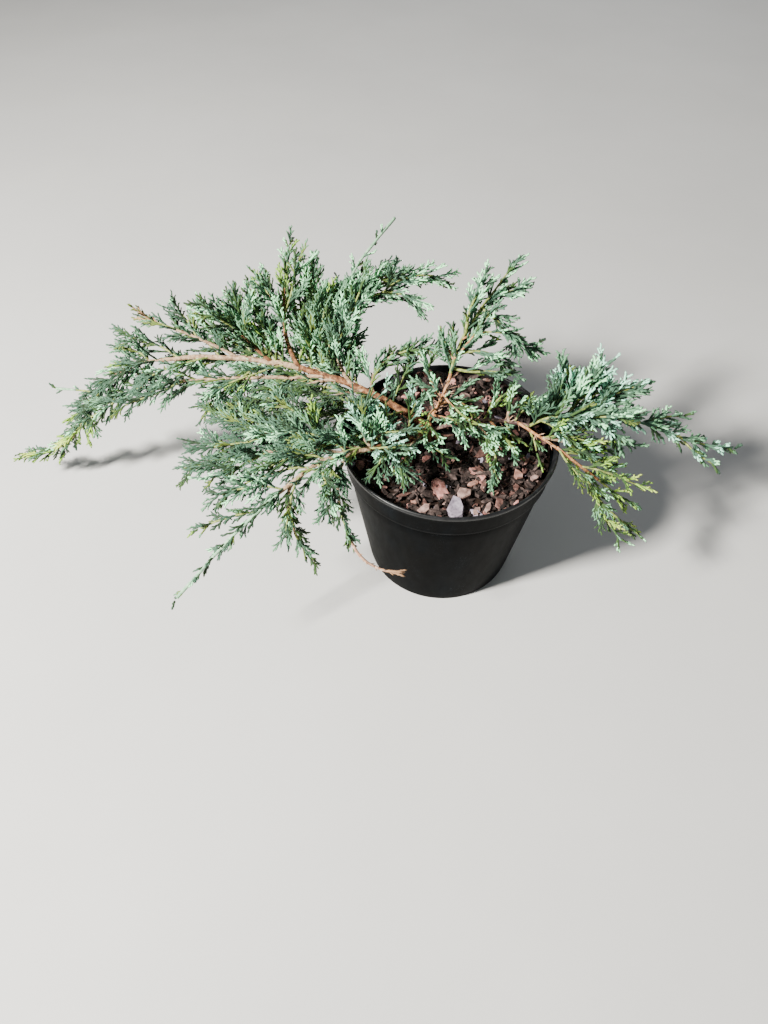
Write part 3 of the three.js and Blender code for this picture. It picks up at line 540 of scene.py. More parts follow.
def make_pot():
    """The moulded shell, a little out of round towards its rim, and its drain holes."""
    profile, finishes = pot_profile()
    angle, reach, z = angles_round(POT_SEGMENTS), profile[:, :1], profile[:, 1:]
    wave = np.sin(2 * angle + 0.6) + 0.5 * np.sin(3 * angle + 2.1 + z / 90)
    radius = reach + np.where(reach < 1, 0, OUT_OF_ROUND * wave * z / POT_HEIGHT)
    points = np.stack([radius * np.cos(angle), radius * np.sin(angle), np.repeat(z, POT_SEGMENTS, 1)], 2)
    row, column = np.divmod(np.arange((len(profile) - 1) * POT_SEGMENTS), POT_SEGMENTS)
    low, after = row * POT_SEGMENTS, (column + 1) % POT_SEGMENTS
    high = low + POT_SEGMENTS
    faces = np.stack([low + column, low + after, high + after, high + column], 1)
    shell = make_piece("pot_shell", points.reshape(-1, 3), faces,
                       [pot_material, lip_painted_highlight_material, ledge_painted_highlight_material], True, finishes[row])

    cutter_mesh = bpy.data.meshes.new("drain_cutter")
    shape = bmesh.new()
    for hole in range(DRAIN_HOLES):
        turn = (hole + 0.5) / DRAIN_HOLES * FULL_TURN
        place = Vector((math.cos(turn) * DRAIN_CIRCLE * MM, math.sin(turn) * DRAIN_CIRCLE * MM, 0))
        bmesh.ops.create_cone(
            shape, cap_ends=True, segments=HOLE_SEGMENTS, radius1=DRAIN_RADIUS * MM,
            radius2=DRAIN_RADIUS * MM, depth=HOLE_DEPTH * MM, matrix=Matrix.Translation(place))
    shape.to_mesh(cutter_mesh)
    shape.free()
    cutter = bpy.data.objects.new("drain_cutter", cutter_mesh)
    link(cutter)
    cut = shell.modifiers.new("drain", "BOOLEAN")
    cut.operation, cut.solver, cut.object = "DIFFERENCE", "EXACT", cutter
    holed = bpy.data.meshes.new_from_object(shell.evaluated_get(bpy.context.evaluated_depsgraph_get()))
    shell.modifiers.clear()
    shell.data = holed
    bpy.data.objects.remove(cutter)
    return shell


dress(make_pot(), ["pot"])

# Soil: a dark bed under bark chips of several kinds
HEAP, HEAP_FROM, HEAP_TO = 13, 30, 85
BED_SEGMENTS, BED_RINGS, BED_DEPTH = 96, 34, 14
soil_edge = pot_radius_at(SOIL_TOP) - POT_WALL - CLEARANCE


def soil_height(x, y):
    """The bed's gentle mound, with the mulch heaped up to the rim at the back."""
    share = 1 - np.minimum(1, np.hypot(x, y) / soil_edge)
    wave = BUMP * np.sin(x / WAVE_X) * np.cos(y / WAVE_Y)
    climb = np.clip((y - HEAP_FROM) / (HEAP_TO - HEAP_FROM), 0, 1)
    return SOIL_TOP + MOUND * np.sin(share * math.pi / 2) + wave + HEAP * climb * climb * (3 - 2 * climb)


def make_soil_bed():
    """A crumbly top, made of rings round its middle, and a plain underside."""
    rng = np.random.default_rng(SOIL_SEED)
    angles = angles_round(BED_SEGMENTS)
    reach = np.linspace(0, soil_edge, BED_RINGS + 1)[1:]
    x = np.cos(angles)[None, :] * reach[:, None]
    y = np.sin(angles)[None, :] * reach[:, None]
    z = soil_height(x, y) + rng.uniform(-1.3, 0.9, x.shape) - 1
    low = np.stack([x[-1] * 0.96, y[-1] * 0.96, np.full(BED_SEGMENTS, SOIL_TOP - float(BED_DEPTH))], 1)
    points = np.vstack([[(0, 0, soil_height(0, 0))], np.stack([x, y, z], 2).reshape(-1, 3), low])
    ring = np.arange(BED_SEGMENTS)
    last = 1 + BED_RINGS * BED_SEGMENTS
    faces = np.vstack([
        np.stack([np.zeros(BED_SEGMENTS, int), 1 + ring, 1 + (ring + 1) % BED_SEGMENTS], 1),
        ring_faces(BED_RINGS, BED_SEGMENTS, 1),
        np.stack([np.full(BED_SEGMENTS - 2, last), last + ring[2:], last + ring[1:-1]], 1)])
    return make_piece("soil_bed", points, faces, [soil_material], False)


def turned(points, yaw, tilt_x, tilt_y):
    """Rows of points, each row turned by its own angles: about X, then Y, then Z."""
    x, y, z = points[..., 0], points[..., 1], points[..., 2]
    cx, sx, cy, sy, cz, sz = (f(a)[:, None] for a in (tilt_x, tilt_y, yaw) for f in (np.cos, np.sin))
    y, z = y * cx - z * sx, y * sx + z * cx
    x, z = x * cy + z * sy, -x * sy + z * cy
    return np.stack([x * cz - y * sz, x * sz + y * cz, z], 2)


# Of a chip: how far its corners turn and reach, how high its rim, top and crown are as shares of its
# thickness, how far its top is set in, and how far its crown is aside
CHIP_CORNERS, CHIP_FOOT = 6, 0.9
CHIP_SHAPE = {
    "turn": (-0.34, 0.34), "reach": (0.62, 1.08), "rim": (0.05, 0.35), "inset": (0.78, 0.96),
    "top": (0.4, 0.58), "aside": (-0.2, 0.2), "crown": (0.4, 0.6),
}


def chip_meshes(places, lengths, widths, thicks, yaw, tilt, rng):
    """Slabs with a bevelled, uneven top: base, rim and top rings, then a crown and a base point."""
    count, corners, thick = len(lengths), CHIP_CORNERS, thicks[:, None, None]

    def some(measure, *shape):
        return rng.uniform(*CHIP_SHAPE[measure], (count, *shape))

    angles = (np.arange(corners) + some("turn", corners)) / corners * FULL_TURN
    reach = some("reach", corners)
    size = np.stack([lengths, widths], 1)[:, None, :] / 2
    outline = np.stack([np.cos(angles) * reach, np.sin(angles) * reach], 2) * size
    low = np.concatenate([outline * CHIP_FOOT, np.repeat(-thick / 2, corners, 1)], 2)
    rim = np.concatenate([outline, some("rim", corners, 1) * thick], 2)
    top = np.concatenate([outline * some("inset", corners, 1), some("top", corners, 1) * thick], 2)
    crown = np.concatenate([some("aside", 1, 2) * size, some("crown", 1, 1) * thick], 2)
    base = np.concatenate([np.zeros((count, 1, 2)), -thick / 2], 2)
    local = np.concatenate([low, rim, top, crown, base], 1)
    points = turned(local, yaw, tilt[:, 0], tilt[:, 1]) + places[:, None, :]
    faces = []
    for i in range(corners):
        j = (i + 1) % corners
        for a in (0, corners):
            b = a + corners
            faces += [(a + i, a + j, b + j), (a + i, b + j, b + i)]
        faces += [(2 * corners + i, 2 * corners + j, 3 * corners), (3 * corners + 1, j, i)]
    offsets = np.arange(count) * (3 * corners + 2)
    return points.reshape(-1, 3), (np.array(faces)[None] + offsets[:, None, None]).reshape(-1, 3)


# Chips that stand out: place x and y, length, width, thickness, turn, height above the soil
MARKED_CHIPS = {
    "chip_brown": [(90, -44, 15, 9, 4, 60, 3)],
    "chip_red": [(33, -19, 18, 13, 5, 10, 3), (-75, 20, 17, 10, 5, 75, 3)],
    "chip_tan": [
        (10, -76, 22, 15, 6, 40, 6), (33, -90, 16, 6, 4, 68, 4), (22, -93, 14, 7, 4, 60, 3),
        (84, -51, 11, 7, 4, 25, 3), (-29, -93, 18, 10, 4, 40, 3), (20, 60, 18, 11, 5, 150, 3)],
    "chip_pink": [
        (-13, -67, 34, 21, 5, 98, 3), (-39, 63, 24, 9, 5, 15, 3), (53, -10, 14, 9, 4, 20, 3),
        (61, -86, 10, 4, 3, 55, 4), (72, 12, 15, 9, 4, 120, 3)],
    "chip_lilac": [
        (2, -92, 35, 19, 8, 66, 5), (-54, 79, 20, 16, 12, 20, 5), (81, -21, 12, 7, 4, 60, 3),
        (-101, -33, 10, 7, 3, 30, 3)],
    "chip_orange": [(68, -47, 16, 10, 5, 80, 3), (42, -72, 11, 6, 4, 30, 4)],
}
MARKED_TILT = (0.12, -0.1)
CHIP_SHARES = {
    "chip_dark": 0.48, "chip_brown": 0.33, "chip_red": 0.11, "chip_tan": 0.035, "chip_pink": 0.02,
    "chip_lilac": 0.015, "chip_orange": 0.01,
}
CHIP_COUNT, CHIP_SHORTEST, CHIP_RANGE, DARK_LONGEST = 1950, 4, 15, 15
CHIP_SLIMNESS, CHIP_FLATNESS, CHIP_THICKS, CHIP_LIFT, CHIP_TILT = (0.3, 0.8), (0.1, 0.2), (0.9, 3), 2.2, 0.34


def make_chips():
    """Chips strewn by a seeded rule, most of them small and dark, with the marked ones among them."""
    rng = np.random.default_rng(CHIP_SEED)
    edge = pot_radius_at(SOIL_TOP) - POT_WALL - 3
    reach = edge * np.sqrt(rng.uniform(0.002, 1, CHIP_COUNT))
    turn = rng.uniform(0, FULL_TURN, CHIP_COUNT)
    lengths = CHIP_SHORTEST + CHIP_RANGE * rng.uniform(0, 1, CHIP_COUNT) ** 2
    reach = np.minimum(reach, edge - lengths * 0.42)
    x, y = reach * np.cos(turn), reach * np.sin(turn)
    widths = lengths * rng.uniform(*CHIP_SLIMNESS, CHIP_COUNT)
    thicks = np.clip(lengths * rng.uniform(*CHIP_FLATNESS, CHIP_COUNT), *CHIP_THICKS)
    z = soil_height(x, y) + rng.uniform(0, CHIP_LIFT, CHIP_COUNT)
    yaw = rng.uniform(0, FULL_TURN, CHIP_COUNT)
    tilt = rng.normal(0, CHIP_TILT, (CHIP_COUNT, 2))
    kinds = rng.choice(list(CHIP_SHARES), CHIP_COUNT, p=list(CHIP_SHARES.values()))
    kinds = np.where((lengths > DARK_LONGEST) & (kinds == "chip_dark"), "chip_brown", kinds)
    foot = np.hypot(x - TRUNK["foot"][0], y - TRUNK["foot"][1]) > TRUNK["foot_radius"] + lengths / 2
    for kind in CHIP_SHARES:
        chosen = (kinds == kind) & foot
        marked = np.array(MARKED_CHIPS.get(kind, []), float).reshape(-1, 7)
        high = soil_height(marked[:, 0], marked[:, 1]) + marked[:, 6]
        places = np.vstack([
            np.stack([x[chosen], y[chosen], z[chosen]], 1), np.column_stack([marked[:, :2], high])])
        points, faces = chip_meshes(
            places, np.append(lengths[chosen], marked[:, 2]), np.append(widths[chosen], marked[:, 3]),
            np.append(thicks[chosen], marked[:, 4]), np.append(yaw[chosen], np.radians(marked[:, 5])),
            np.vstack([tilt[chosen], np.tile(MARKED_TILT, (len(marked), 1))]), rng)
        dress(make_piece(kind + "s", points, faces, [chip_materials[kind]], False), ["soil"])


dress(make_soil_bed(), ["soil"])
make_chips()

# Paths of the shoots, by the source's rule
PATH_STEPS = 24


def unit(v):
    return v / np.linalg.norm(v, axis=-1, keepdims=True)


def quadratic(values, t):
    start, middle, end = values
    return start * (1 - t) * (1 - 2 * t) + middle * 4 * t * (1 - t) + end * t * (2 * t - 1)


def grow_path(start, length, heading, rise):
    """Points, directions and upward normals of a shoot."""
    t = np.minimum(1, (np.arange(PATH_STEPS + 1) + 0.5) / PATH_STEPS)
    turn, climb = np.radians(quadratic(heading, t)), np.radians(quadratic(rise, t))
    tangents = np.stack([np.cos(climb) * np.cos(turn), np.cos(climb) * np.sin(turn), np.sin(climb)], 1)
    points = np.vstack([[start], start + np.cumsum(tangents[:-1], 0) * length / PATH_STEPS])
    normals = []
    across = X_AXIS if abs(tangents[0][2]) > STEEP else UP
    for tangent in tangents:
        across = unit(across - tangent * across.dot(tangent))
        normals.append(across)
    return {"points": points, "tangents": tangents, "normals": np.array(normals), "length": length}


def frames_at(path, shares):
    """Points, tangents, normals and sides at shares of a path's length."""
    place = np.atleast_1d(np.asarray(shares, float)) * PATH_STEPS
    i = np.clip(np.floor(place).astype(int), 0, PATH_STEPS - 1)
    part = (place - i)[:, None]
    point, tangent, normal = (
        path[key][i] * (1 - part) + path[key][i + 1] * part for key in ("points", "tangents", "normals"))
    tangent = unit(tangent)
    normal = unit(normal - tangent * (normal * tangent).sum(1, keepdims=True))
    return point, tangent, normal, np.cross(normal, tangent)


def frame_at(path, share):
    return [row[0] for row in frames_at(path, share)]


def side_twigs_of(shoot):
    """Finer twigs of a shoot: they leave it sideways and bend back along it."""
    made = []
    count = int(shoot["twigs"])
    for i in range(count):
        part = SIDE_TWIG["first"] + (shoot["last"] - SIDE_TWIG["first"]) * i / max(1, count - 1)
        share = shoot["bare"] + (1 - shoot["bare"]) * part
        hand = 1 if i % 2 else -1
        heading, rise = (quadratic(shoot[key], share) for key in ("heading", "rise"))
        made.append({
            **PLAIN_SHOOT, "small": True, "name": f"{shoot['name']}_twig_{i + 1}", "parent": shoot["name"],
            "at": share, "mass": mass_of(shoot), "bare": 0.08, "spray": shoot["spray"] * 0.85,
            "length": min(SIDE_TWIG["longest"], SIDE_TWIG["length"] * shoot["length"] * (1 - 0.45 * part)),
            "heading": [heading + hand * turn for turn in SIDE_TWIG["turn"]],
            "rise": [rise + lift for lift in SIDE_TWIG["rise"]],
        })
    return made


def mass_of(shoot):
    return shoot["mass"] or shoot["name"]


def node_of(shoot):
    """The CAD node that a shoot's bare part is in."""
    if shoot["mass"]:
        return shoot["mass"] + "_foliage"
    if shoot["bare"] == 1:
        return shoot["name"]
    return shoot["name"] + ("_bough" if shoot["bare"] else "_foliage")


trunk_start = np.array([*TRUNK["foot"], SOIL_TOP + MOUND + BUMP + CLEARANCE], float)
paths = {"trunk": grow_path(trunk_start, TRUNK["length"], TRUNK["heading"], TRUNK["rise"])}
for shoot in shoots:
    small_shoots += side_twigs_of(shoot)
for shoot in shoots + small_shoots:
    root = frame_at(paths[shoot["parent"]], shoot["at"])[0]
    paths[shoot["name"]] = grow_path(root, shoot["length"], shoot["heading"], shoot["rise"])

# Bark: tubes along the paths with ridges and flaking plates
# Cells round a stem and the length of one along it, for the bark's ridges, plates and fine shreds
BARK_CELLS = ((5, 26), (7, 8), (11, 3.2))
RIDGE_HEIGHT, PLATE_HEIGHT, SHRED_HEIGHT, BARK_SINK = 0.9, 0.7, 0.4, 0.35
PLATE_FROM, BETWEEN_PLATES, THINNEST, TWIST = 0.1, -0.15, 0.5, 0.02
LEAF_BULGE, LEAF_WAIST = 1.14, 0.9


def lattice_noise(around, along, cells_around, cell_length, rng):
    """Smooth noise over a tube's skin, wrapping round it."""
    grid = rng.uniform(-1, 1, (cells_around, int(along.max() / cell_length) + 3))
    u, v = around / FULL_TURN * cells_around, along / cell_length
    i, j = np.floor(u).astype(int), np.floor(v).astype(int)
    a, b = u - i, v - j
    a, b = a * a * (3 - 2 * a), b * b * (3 - 2 * b)
    i0, i1 = i % cells_around, (i + 1) % cells_around
    return ((grid[i0, j] * (1 - a) + grid[i1, j] * a) * (1 - b)
            + (grid[i0, j + 1] * (1 - a) + grid[i1, j + 1] * a) * b)


def bark_tube(path, start, end, radius_at, sides, rough, step, wander):
    """A closed tube along a stretch of a path, with the relief of shreddy bark."""
    rings = max(4, int((end - start) * path["length"] / step))
    shares = np.linspace(start, end, rings + 1)
    point, _, normal, side = frames_at(path, shares)
    around = angles_round(sides)
    along = (shares - start) * path["length"]
    turn = (around[None, :] + along[:, None] * TWIST) % FULL_TURN
    run = np.repeat(along[:, None], sides, 1)
    ridges, plates, shreds = (lattice_noise(turn, run, *cells, bark_rng) for cells in BARK_CELLS)
    plates = np.where(plates > PLATE_FROM, plates, BETWEEN_PLATES)
    relief = rough * (
        RIDGE_HEIGHT * np.abs(ridges) + PLATE_HEIGHT * plates + SHRED_HEIGHT * shreds - BARK_SINK)
    radius = radius_at((shares - start) / (end - start))[:, None]
    radius = np.maximum(radius * THINNEST, radius + relief)
    sway = wander * np.stack([np.sin(along / 9 + 1), np.sin(along / 7 + 2)], 1)
    centre = point + normal * sway[:, :1] + side * sway[:, 1:]
    points = (centre[:, None] + normal[:, None] * (radius * np.cos(around))[..., None]
              + side[:, None] * (radius * np.sin(around))[..., None]).reshape(-1, 3)
    j = np.arange(sides)
    k = (j + 1) % sides
    first, top = len(points), rings * sides
    return np.vstack([points, centre[:1], centre[-1:]]), np.vstack([
        ring_faces(rings, sides), np.stack([np.full(sides, first), j, k], 1),
        np.stack([np.full(sides, first + 1), top + k, top + j], 1)])


def cord_meshes(start, middle, end, root_radius, tip_radius, steps, sides=4):
    """Pointed cords with the bulges of paired scale leaves, each ring turned half a side on."""
    root_radius, tip_radius = (
        np.broadcast_to(radius, len(start))[:, None] for radius in (root_radius, tip_radius))
    s = np.linspace(0, 1, steps + 1)
    a, b, c = ((1 - s) ** 2), 2 * s * (1 - s), s ** 2
    line = start[:, None] * a[:, None] + middle[:, None] * b[:, None] + end[:, None] * c[:, None]
    tangent = unit((middle - start)[:, None] * (1 - s)[:, None] + (end - middle)[:, None] * s[:, None])
    chord = unit(end - start)
    helper = np.where(np.abs(chord[:, 2:]) > 0.9, X_AXIS, UP)
    normal = unit(np.cross(np.cross(chord, helper), chord))
    normal = unit(normal[:, None] - tangent * (tangent * normal[:, None]).sum(2, keepdims=True))
    side = np.cross(normal, tangent)
    radius = root_radius + (tip_radius - root_radius) * s[None, :-1]
    radius = radius * np.where(np.arange(steps) % 2, LEAF_BULGE, LEAF_WAIST)
    turn = (np.arange(sides)[None, :] + 0.5 * np.arange(steps)[:, None]) / sides * FULL_TURN
    ring = (line[:, :-1, None] + normal[:, :-1, None] * (radius[:, :, None] * np.cos(turn))[..., None]
            + side[:, :-1, None] * (radius[:, :, None] * np.sin(turn))[..., None])
    points = np.concatenate([ring.reshape(len(start), -1, 3), line[:, -1:]], 1)
    top = steps * sides
    faces = [(top - sides + j, top, top - sides + (j + 1) % sides) for j in range(sides)]
    for low in range(0, top - sides, sides):
        high = low + sides
        for j in range(sides):
            k = (j + 1) % sides
            faces += [(low + j, high + j, low + k), (low + k, high + j, high + k)]
    offsets = (np.arange(len(start)) * (top + 1))[:, None, None]
    return points.reshape(-1, 3), (np.array(faces)[None] + offsets).reshape(-1, 3)


class Gatherer:
    """Collects meshes by kind, with the CAD nodes they stand for, and joins each kind into pieces."""

    def __init__(self):
        self.kinds = {}

    def add(self, kind, points, faces, node):
        self.kinds.setdefault(kind, []).append((points, faces, node))

    def join(self, materials, slots):
        for kind in sorted(self.kinds):
            batches = [[]]
            for item in self.kinds[kind]:
                if sum(len(other[1]) for other in batches[-1]) + len(item[1]) > PIECE_LIMIT:
                    batches.append([])
                batches[-1].append(item)
            for number, batch in enumerate(batches):
                offsets = np.cumsum([0] + [len(item[0]) for item in batch])
                points = np.vstack([item[0] for item in batch])
                faces = np.vstack([item[1] + offset for item, offset in zip(batch, offsets)])
                name = kind if len(batches) == 1 else f"{kind}_{number + 1}"
                piece = make_piece(name, points, faces, [materials[kind]])
                dress(piece, {item[2] for item in batch})


bark, foliage = Gatherer(), Gatherer()
bark_rng = np.random.default_rng(BARK_SEED)
# Small shoots of these masses are woody at their feet
WOODY_FEET = {"leader", "leader_low", "right_front"}
# Radius of a mass's stem at its foot, where it bears another shoot on its end, and at its tip
STEM_FOOT, STEM_JOINT, STEM_TIP, PALE_TIP = 1.6, 1.28, 1.0, 1.8
SMALL_FOOT, STEM_END, STEM_MIDDLE, MIDDLE_TAPER, PLAIN_TIP = 0.7, 0.4, 0.55, 0.45, 0.75
# Sides of a tube, depth of its relief (a limb's as a share of its radius), step along it and sway
TRUNK_BARK = {"sides": 28, "rough": 0.7, "step": 1.0, "wander": 0.0}
LIMB_BARK = {"rough": 0.14, "step": 1.4, "wander": 0.3}
STEM_BARK = {"sides": 9, "rough": 0.16, "step": 2.0, "wander": 0.25}
STOUT, STOUT_SIDES, SLIM_SIDES = 3, 20, 12
# Dry side twigs left on a limb: how many, the stretch of the limb that they stand on, and the longest
DRY_TWIGS = [
    ("left_limb", 26, 0.02, 0.6, 17), ("left_limb", 22, 0.62, 0.98, 7), ("leader_limb", 26, 0.05, 0.95, 19),
    ("right_limb", 20, 0.1, 0.95, 15), ("front_limb", 14, 0.1, 0.9, 17), ("lower_left", 8, 0.05, 0.33, 12),
    ("right_lower", 6, 0.05, 0.5, 12),
]
DRY_TWIG_RADII, DRY_TWIG_LEAN = (0.35, 0.7), (0.3, 1.4)


def trunk_radius_at(share):
    """The trunk's taper, with its root flare below and its rounded top."""
    flare = np.maximum(0, 1 - share / TRUNK["flare_share"]) ** 2
    rounded = np.sqrt(np.clip((1 - share) / 0.12, 0.05, 1))
    stem = TRUNK["radius"] + (TRUNK["tip_radius"] - TRUNK["radius"]) * share
    return stem * rounded + (TRUNK["foot_radius"] - TRUNK["radius"]) * flare


def add_stem(shoot, stretches, node, sides, rough, step, wander):
    """Tubes of bark along a shoot: kind, start, end and the radii there of each stretch."""
    for kind, start, end, foot, tip in stretches:
        if start < end:
            bark.add("bark_" + kind, *bark_tube(
                paths[shoot["name"]], start, end, lambda share: foot + (tip - foot) * share,
                sides, rough, step, wander), node)


def add_limb(shoot):
    """The bare part of a shoot, which turns tan on its way."""
    first, bare = shoot["radii"][0], shoot["bare"]
    turns_tan = shoot["tan"] * bare
    foot, middle, tip = np.interp([0, turns_tan, bare], [0, bare], shoot["radii"]) * shoot["thin"]
    add_stem(
        shoot, ((shoot["wood"], 0, turns_tan, foot, middle), ("tan", turns_tan, bare, middle, tip)),
        node_of(shoot), STOUT_SIDES if first > STOUT else SLIM_SIDES,
        LIMB_BARK["rough"] * first, LIMB_BARK["step"], LIMB_BARK["wander"])


def add_mass_stem(shoot):
    """The stem of a shoot inside its mass, greener or paler towards its tip."""
    dead = shoot["wood"] == "dead"
    foot, start = STEM_FOOT * (SMALL_FOOT if shoot["small"] else 1), 0
    if shoot["radii"]:
        foot, start = shoot["radii"][1], shoot["bare"]
    carries_on = any(other["parent"] == shoot["name"] and other["at"] == 1 for other in shoots)
    end = 1 if carries_on or dead else 1 - STEM_END * shoot["spray"] / shoot["length"]
    middle = start + (end - start) * STEM_MIDDLE
    half = foot + (STEM_TIP - foot) * MIDDLE_TAPER
    wood = "mint" if shoot["pale"] else shoot["wood"]
    if shoot["small"]:
        wood = "orange" if shoot["mass"] in WOODY_FEET else "green"
    tip = STEM_JOINT if carries_on else STEM_TIP * (PALE_TIP if shoot["pale"] else PLAIN_TIP)
    tip_wood = "dead" if dead else "mint" if shoot["pale"] else "green"
    add_stem(shoot, ((wood, start, middle, foot, half), (tip_wood, middle, end, half, tip)),
             mass_of(shoot) + "_foliage", **STEM_BARK)


def add_dry_twigs(name, count, low, high, longest):
    """Short dead twigs that stand off a stretch of a limb, all round it."""
    point, tangent, normal, side = frames_at(paths[name], bark_rng.uniform(low, high, count))
    turn = bark_rng.uniform(0, FULL_TURN, count)[:, None]
    out = normal * np.cos(turn) + side * np.sin(turn)
    heading = unit(out + tangent * bark_rng.uniform(*DRY_TWIG_LEAN, (count, 1)))
    length = bark_rng.uniform(0.3 * longest, longest, (count, 1))
    bow = unit(bark_rng.normal(0, 1, (count, 3))) * length * 0.12
    radius = bark_rng.uniform(*DRY_TWIG_RADII, count)
    points, faces = cord_meshes(
        point, point + heading * length * 0.5 + bow, point + heading * length, radius, radius * 0.6, 5)
    bark.add("bark_dead", points, faces, node_of(shoot_named[name]))


bark.add("bark_red", *bark_tube(paths["trunk"], 0, 1, trunk_radius_at, **TRUNK_BARK), "trunk")
for shoot in shoots + small_shoots:
    if shoot["bare"] and shoot["radii"]:
        add_limb(shoot)
    if shoot["bare"] < 1 or shoot["wood"] == "dead":
        add_mass_stem(shoot)
for row in DRY_TWIGS:
    add_dry_twigs(*row)
bark.join(bark_materials, dict.fromkeys(bark_materials, "bark"))

# Foliage: cords of scale leaves in branched sprays
# Inner and outer shade of a spray, with its share among a mass's sprays
PALETTES = {
    "silvery": """blue_green silver 0.3  sea_green frost 0.2  sea_green silver 0.16
        blue_green frost 0.12  leaf_green frost 0.1  deep_green blue_green 0.12""",
    "icy": """blue_green ice 0.32  sea_green frost 0.16  sea_green ice 0.16  blue_green silver 0.08
        leaf_green frost 0.1  deep_green blue_green 0.12  sea_green blue_green 0.06""",
    "blue": """blue_green silver 0.12  sea_green frost 0.13  leaf_green frost 0.07
        sea_green blue_green 0.2  leaf_green blue_green 0.11  deep_green blue_green 0.17
        olive frost 0.05  leaf_green yellow_green 0.03  deep_green sea_green 0.12""",
    "crown": """leaf_green frost 0.24  sea_green frost 0.18  leaf_green silver 0.1
        blue_green silver 0.07  leaf_green blue_green 0.12  olive frost 0.1
        deep_green leaf_green 0.12  leaf_green yellow_green 0.07""",
    "vivid": """leaf_green yellow_green 0.32  yellow_green lime 0.08  leaf_green frost 0.2
        deep_green leaf_green 0.18  leaf_green olive 0.12  leaf_green silver 0.1""",
    "centre": """leaf_green silver 0.26  olive silver 0.16  leaf_green frost 0.18
        blue_green silver 0.16  leaf_green yellow_green 0.1  sea_green frost 0.14""",
    # The shaded palette: darker greens that are painted shade, for the masses that lie in shade and for some
    # sprays on the undersides of the others
    "shaded": """leaf_green sea_green 0.28  deep_green leaf_green 0.22  olive sea_green 0.16
        sea_green frost 0.2  leaf_green olive 0.14""",
    "bright": """leaf_green yellow_green 0.36  yellow_green lime 0.06  leaf_green frost 0.18
        leaf_green blue_green 0.09  olive silver 0.15  deep_green leaf_green 0.16""",
}
# Palettes that stay as they are on the underside, where some sprays of the others take the shaded palette as
# painted shade
SAME_BELOW, SHADED_BELOW = ("shaded", "bright", "vivid"), 0.35
DRY_MASS, DRY_FROM, DRY_SHARE = "upper_left", 0.8, 0.45
MASK = 0xFFFFFFFF
REACH_PAST_CAD, OFF_RIM, OFF_WALL, OFF_SOIL, OFF_FLOOR = 6, 1.5, 2, 2, 1.5
SHOWN_STEP, SHOWN_HALF_WIDTH, SHOWN_DEPTHS = 3, 2.6, (3.5, 70)
GOLDEN_TURN = math.radians(137.5)
# The scene's own sprays: share of a spray's full length, the shortest, and what a shoot's tip keeps
FILL_SIZES, SHORTEST_SPRAY, FILL_SLIM = (0.5, 0.95), 9, 0.75
LEAFY_WHEN_RISING, LEAFY_WHEN_LEVEL, RISING = 0.25, 0.8, 30
# Their radians off the golden turn and rolled, degrees forward, and what is added at a shoot's foot
FILL_TURN, FILL_ROLL, FILL_FORWARD, FOOT_FORWARD, FOOT_FADE = (-0.4, 0.4), (-0.6, 0.6), (22, 44), 28, 6
# The leader's upper sprays keep to its outer side: first azimuth and range in degrees, and from where
LEADER_SIDE, LEADER_RANGE, LEADER_FROM = -150, 170, 0.4
# A spray's bends across, out of its plane and on along its stem, as shares of its length
BEND_ACROSS, BEND_OUT, BEND_ON = (-0.12, 0.12), (-0.06, 0.1), 0.14
# What branches off: millimetres of its mother for each, share where the first leaves and the run of the
# others, degrees forward and out of the plane, and its reach: most, least and how much it varies
BRANCHLET = {
    "gap": 4.6, "first": 0.08, "run": 0.86, "lean": (20, 36), "tilt": (-34, 34),
    "most": 0.44, "least": 0.12, "varies": (0.75, 1.15),
}
TWIGLET = {
    "gap": 4.4, "first": 0.14, "run": 0.78, "lean": (22, 38), "tilt": (-40, 40),
    "most": 0.34, "least": 0.12, "varies": (0.75, 1.25),
}
FEWEST, JITTER, TWIGLET_SHORTEST = 4, (0.2, 0.8), 1.6
OUTER_FROM, TWIGLET_OUTER_FROM = 0.55, 0.5
AXIS_RADII, BRANCHLET_TAPER, TWIGLET_RADII = (1.15, 0.75), 0.62, (0.9, 0.6)
AXIS_STEPS, BRANCHLET_STEPS, TWIGLET_STEPS, TWIGLET_SIDES = 7, 4, 3, 3

rng = np.random.default_rng(SPRAY_SEED)
low_corner = np.array(cad_box[0]) / MM - REACH_PAST_CAD
high_corner = np.array(cad_box[1]) / MM + REACH_PAST_CAD
camera_point = np.array(CAMERA_AT) / MM
shown_points = np.vstack([
    frames_at(paths[shoot["name"]], np.arange(*shoot["seen"], SHOWN_STEP / shoot["length"]))[0]
    for shoot in shoots if shoot["seen"]])
shown_distance = np.linalg.norm(shown_points - camera_point, axis=1)
shown_rays = (shown_points - camera_point) / shown_distance[:, None]


def random_from(seed):
    """The source's own random numbers, so that its sprays come out in the same places."""
    state = seed & MASK

    def draw():
        nonlocal state
        state = (state + 0x6D2B79F5) & MASK
        t = state
        t = ((t ^ (t >> 15)) * (t | 1)) & MASK
        t = t ^ ((t + (((t ^ (t >> 7)) * (t | 61)) & MASK)) & MASK)
        return ((t ^ (t >> 14)) & MASK) / (MASK + 1)

    return draw


def spread(draw, amount):
    return (draw() * 2 - 1) * amount


def angles_in(limits, count):
    """A column of random angles between two limits in degrees."""
    return np.radians(rng.uniform(*limits, count))[:, None]


def spray_axes(at, azimuth, forward, roll):
    """Along, across and face directions of a spray that leaves its stem at a place."""
    _, tangent, normal, side = at
    out = normal * math.cos(azimuth) + side * math.sin(azimuth)
    along = unit(tangent * math.cos(forward) + out * math.sin(forward))
    across = unit(np.cross(side if abs(along[2]) > STEEP else UP, along))
    across = across * math.cos(roll) + np.cross(along, across) * math.sin(roll)
    return along, across, np.cross(along, across)


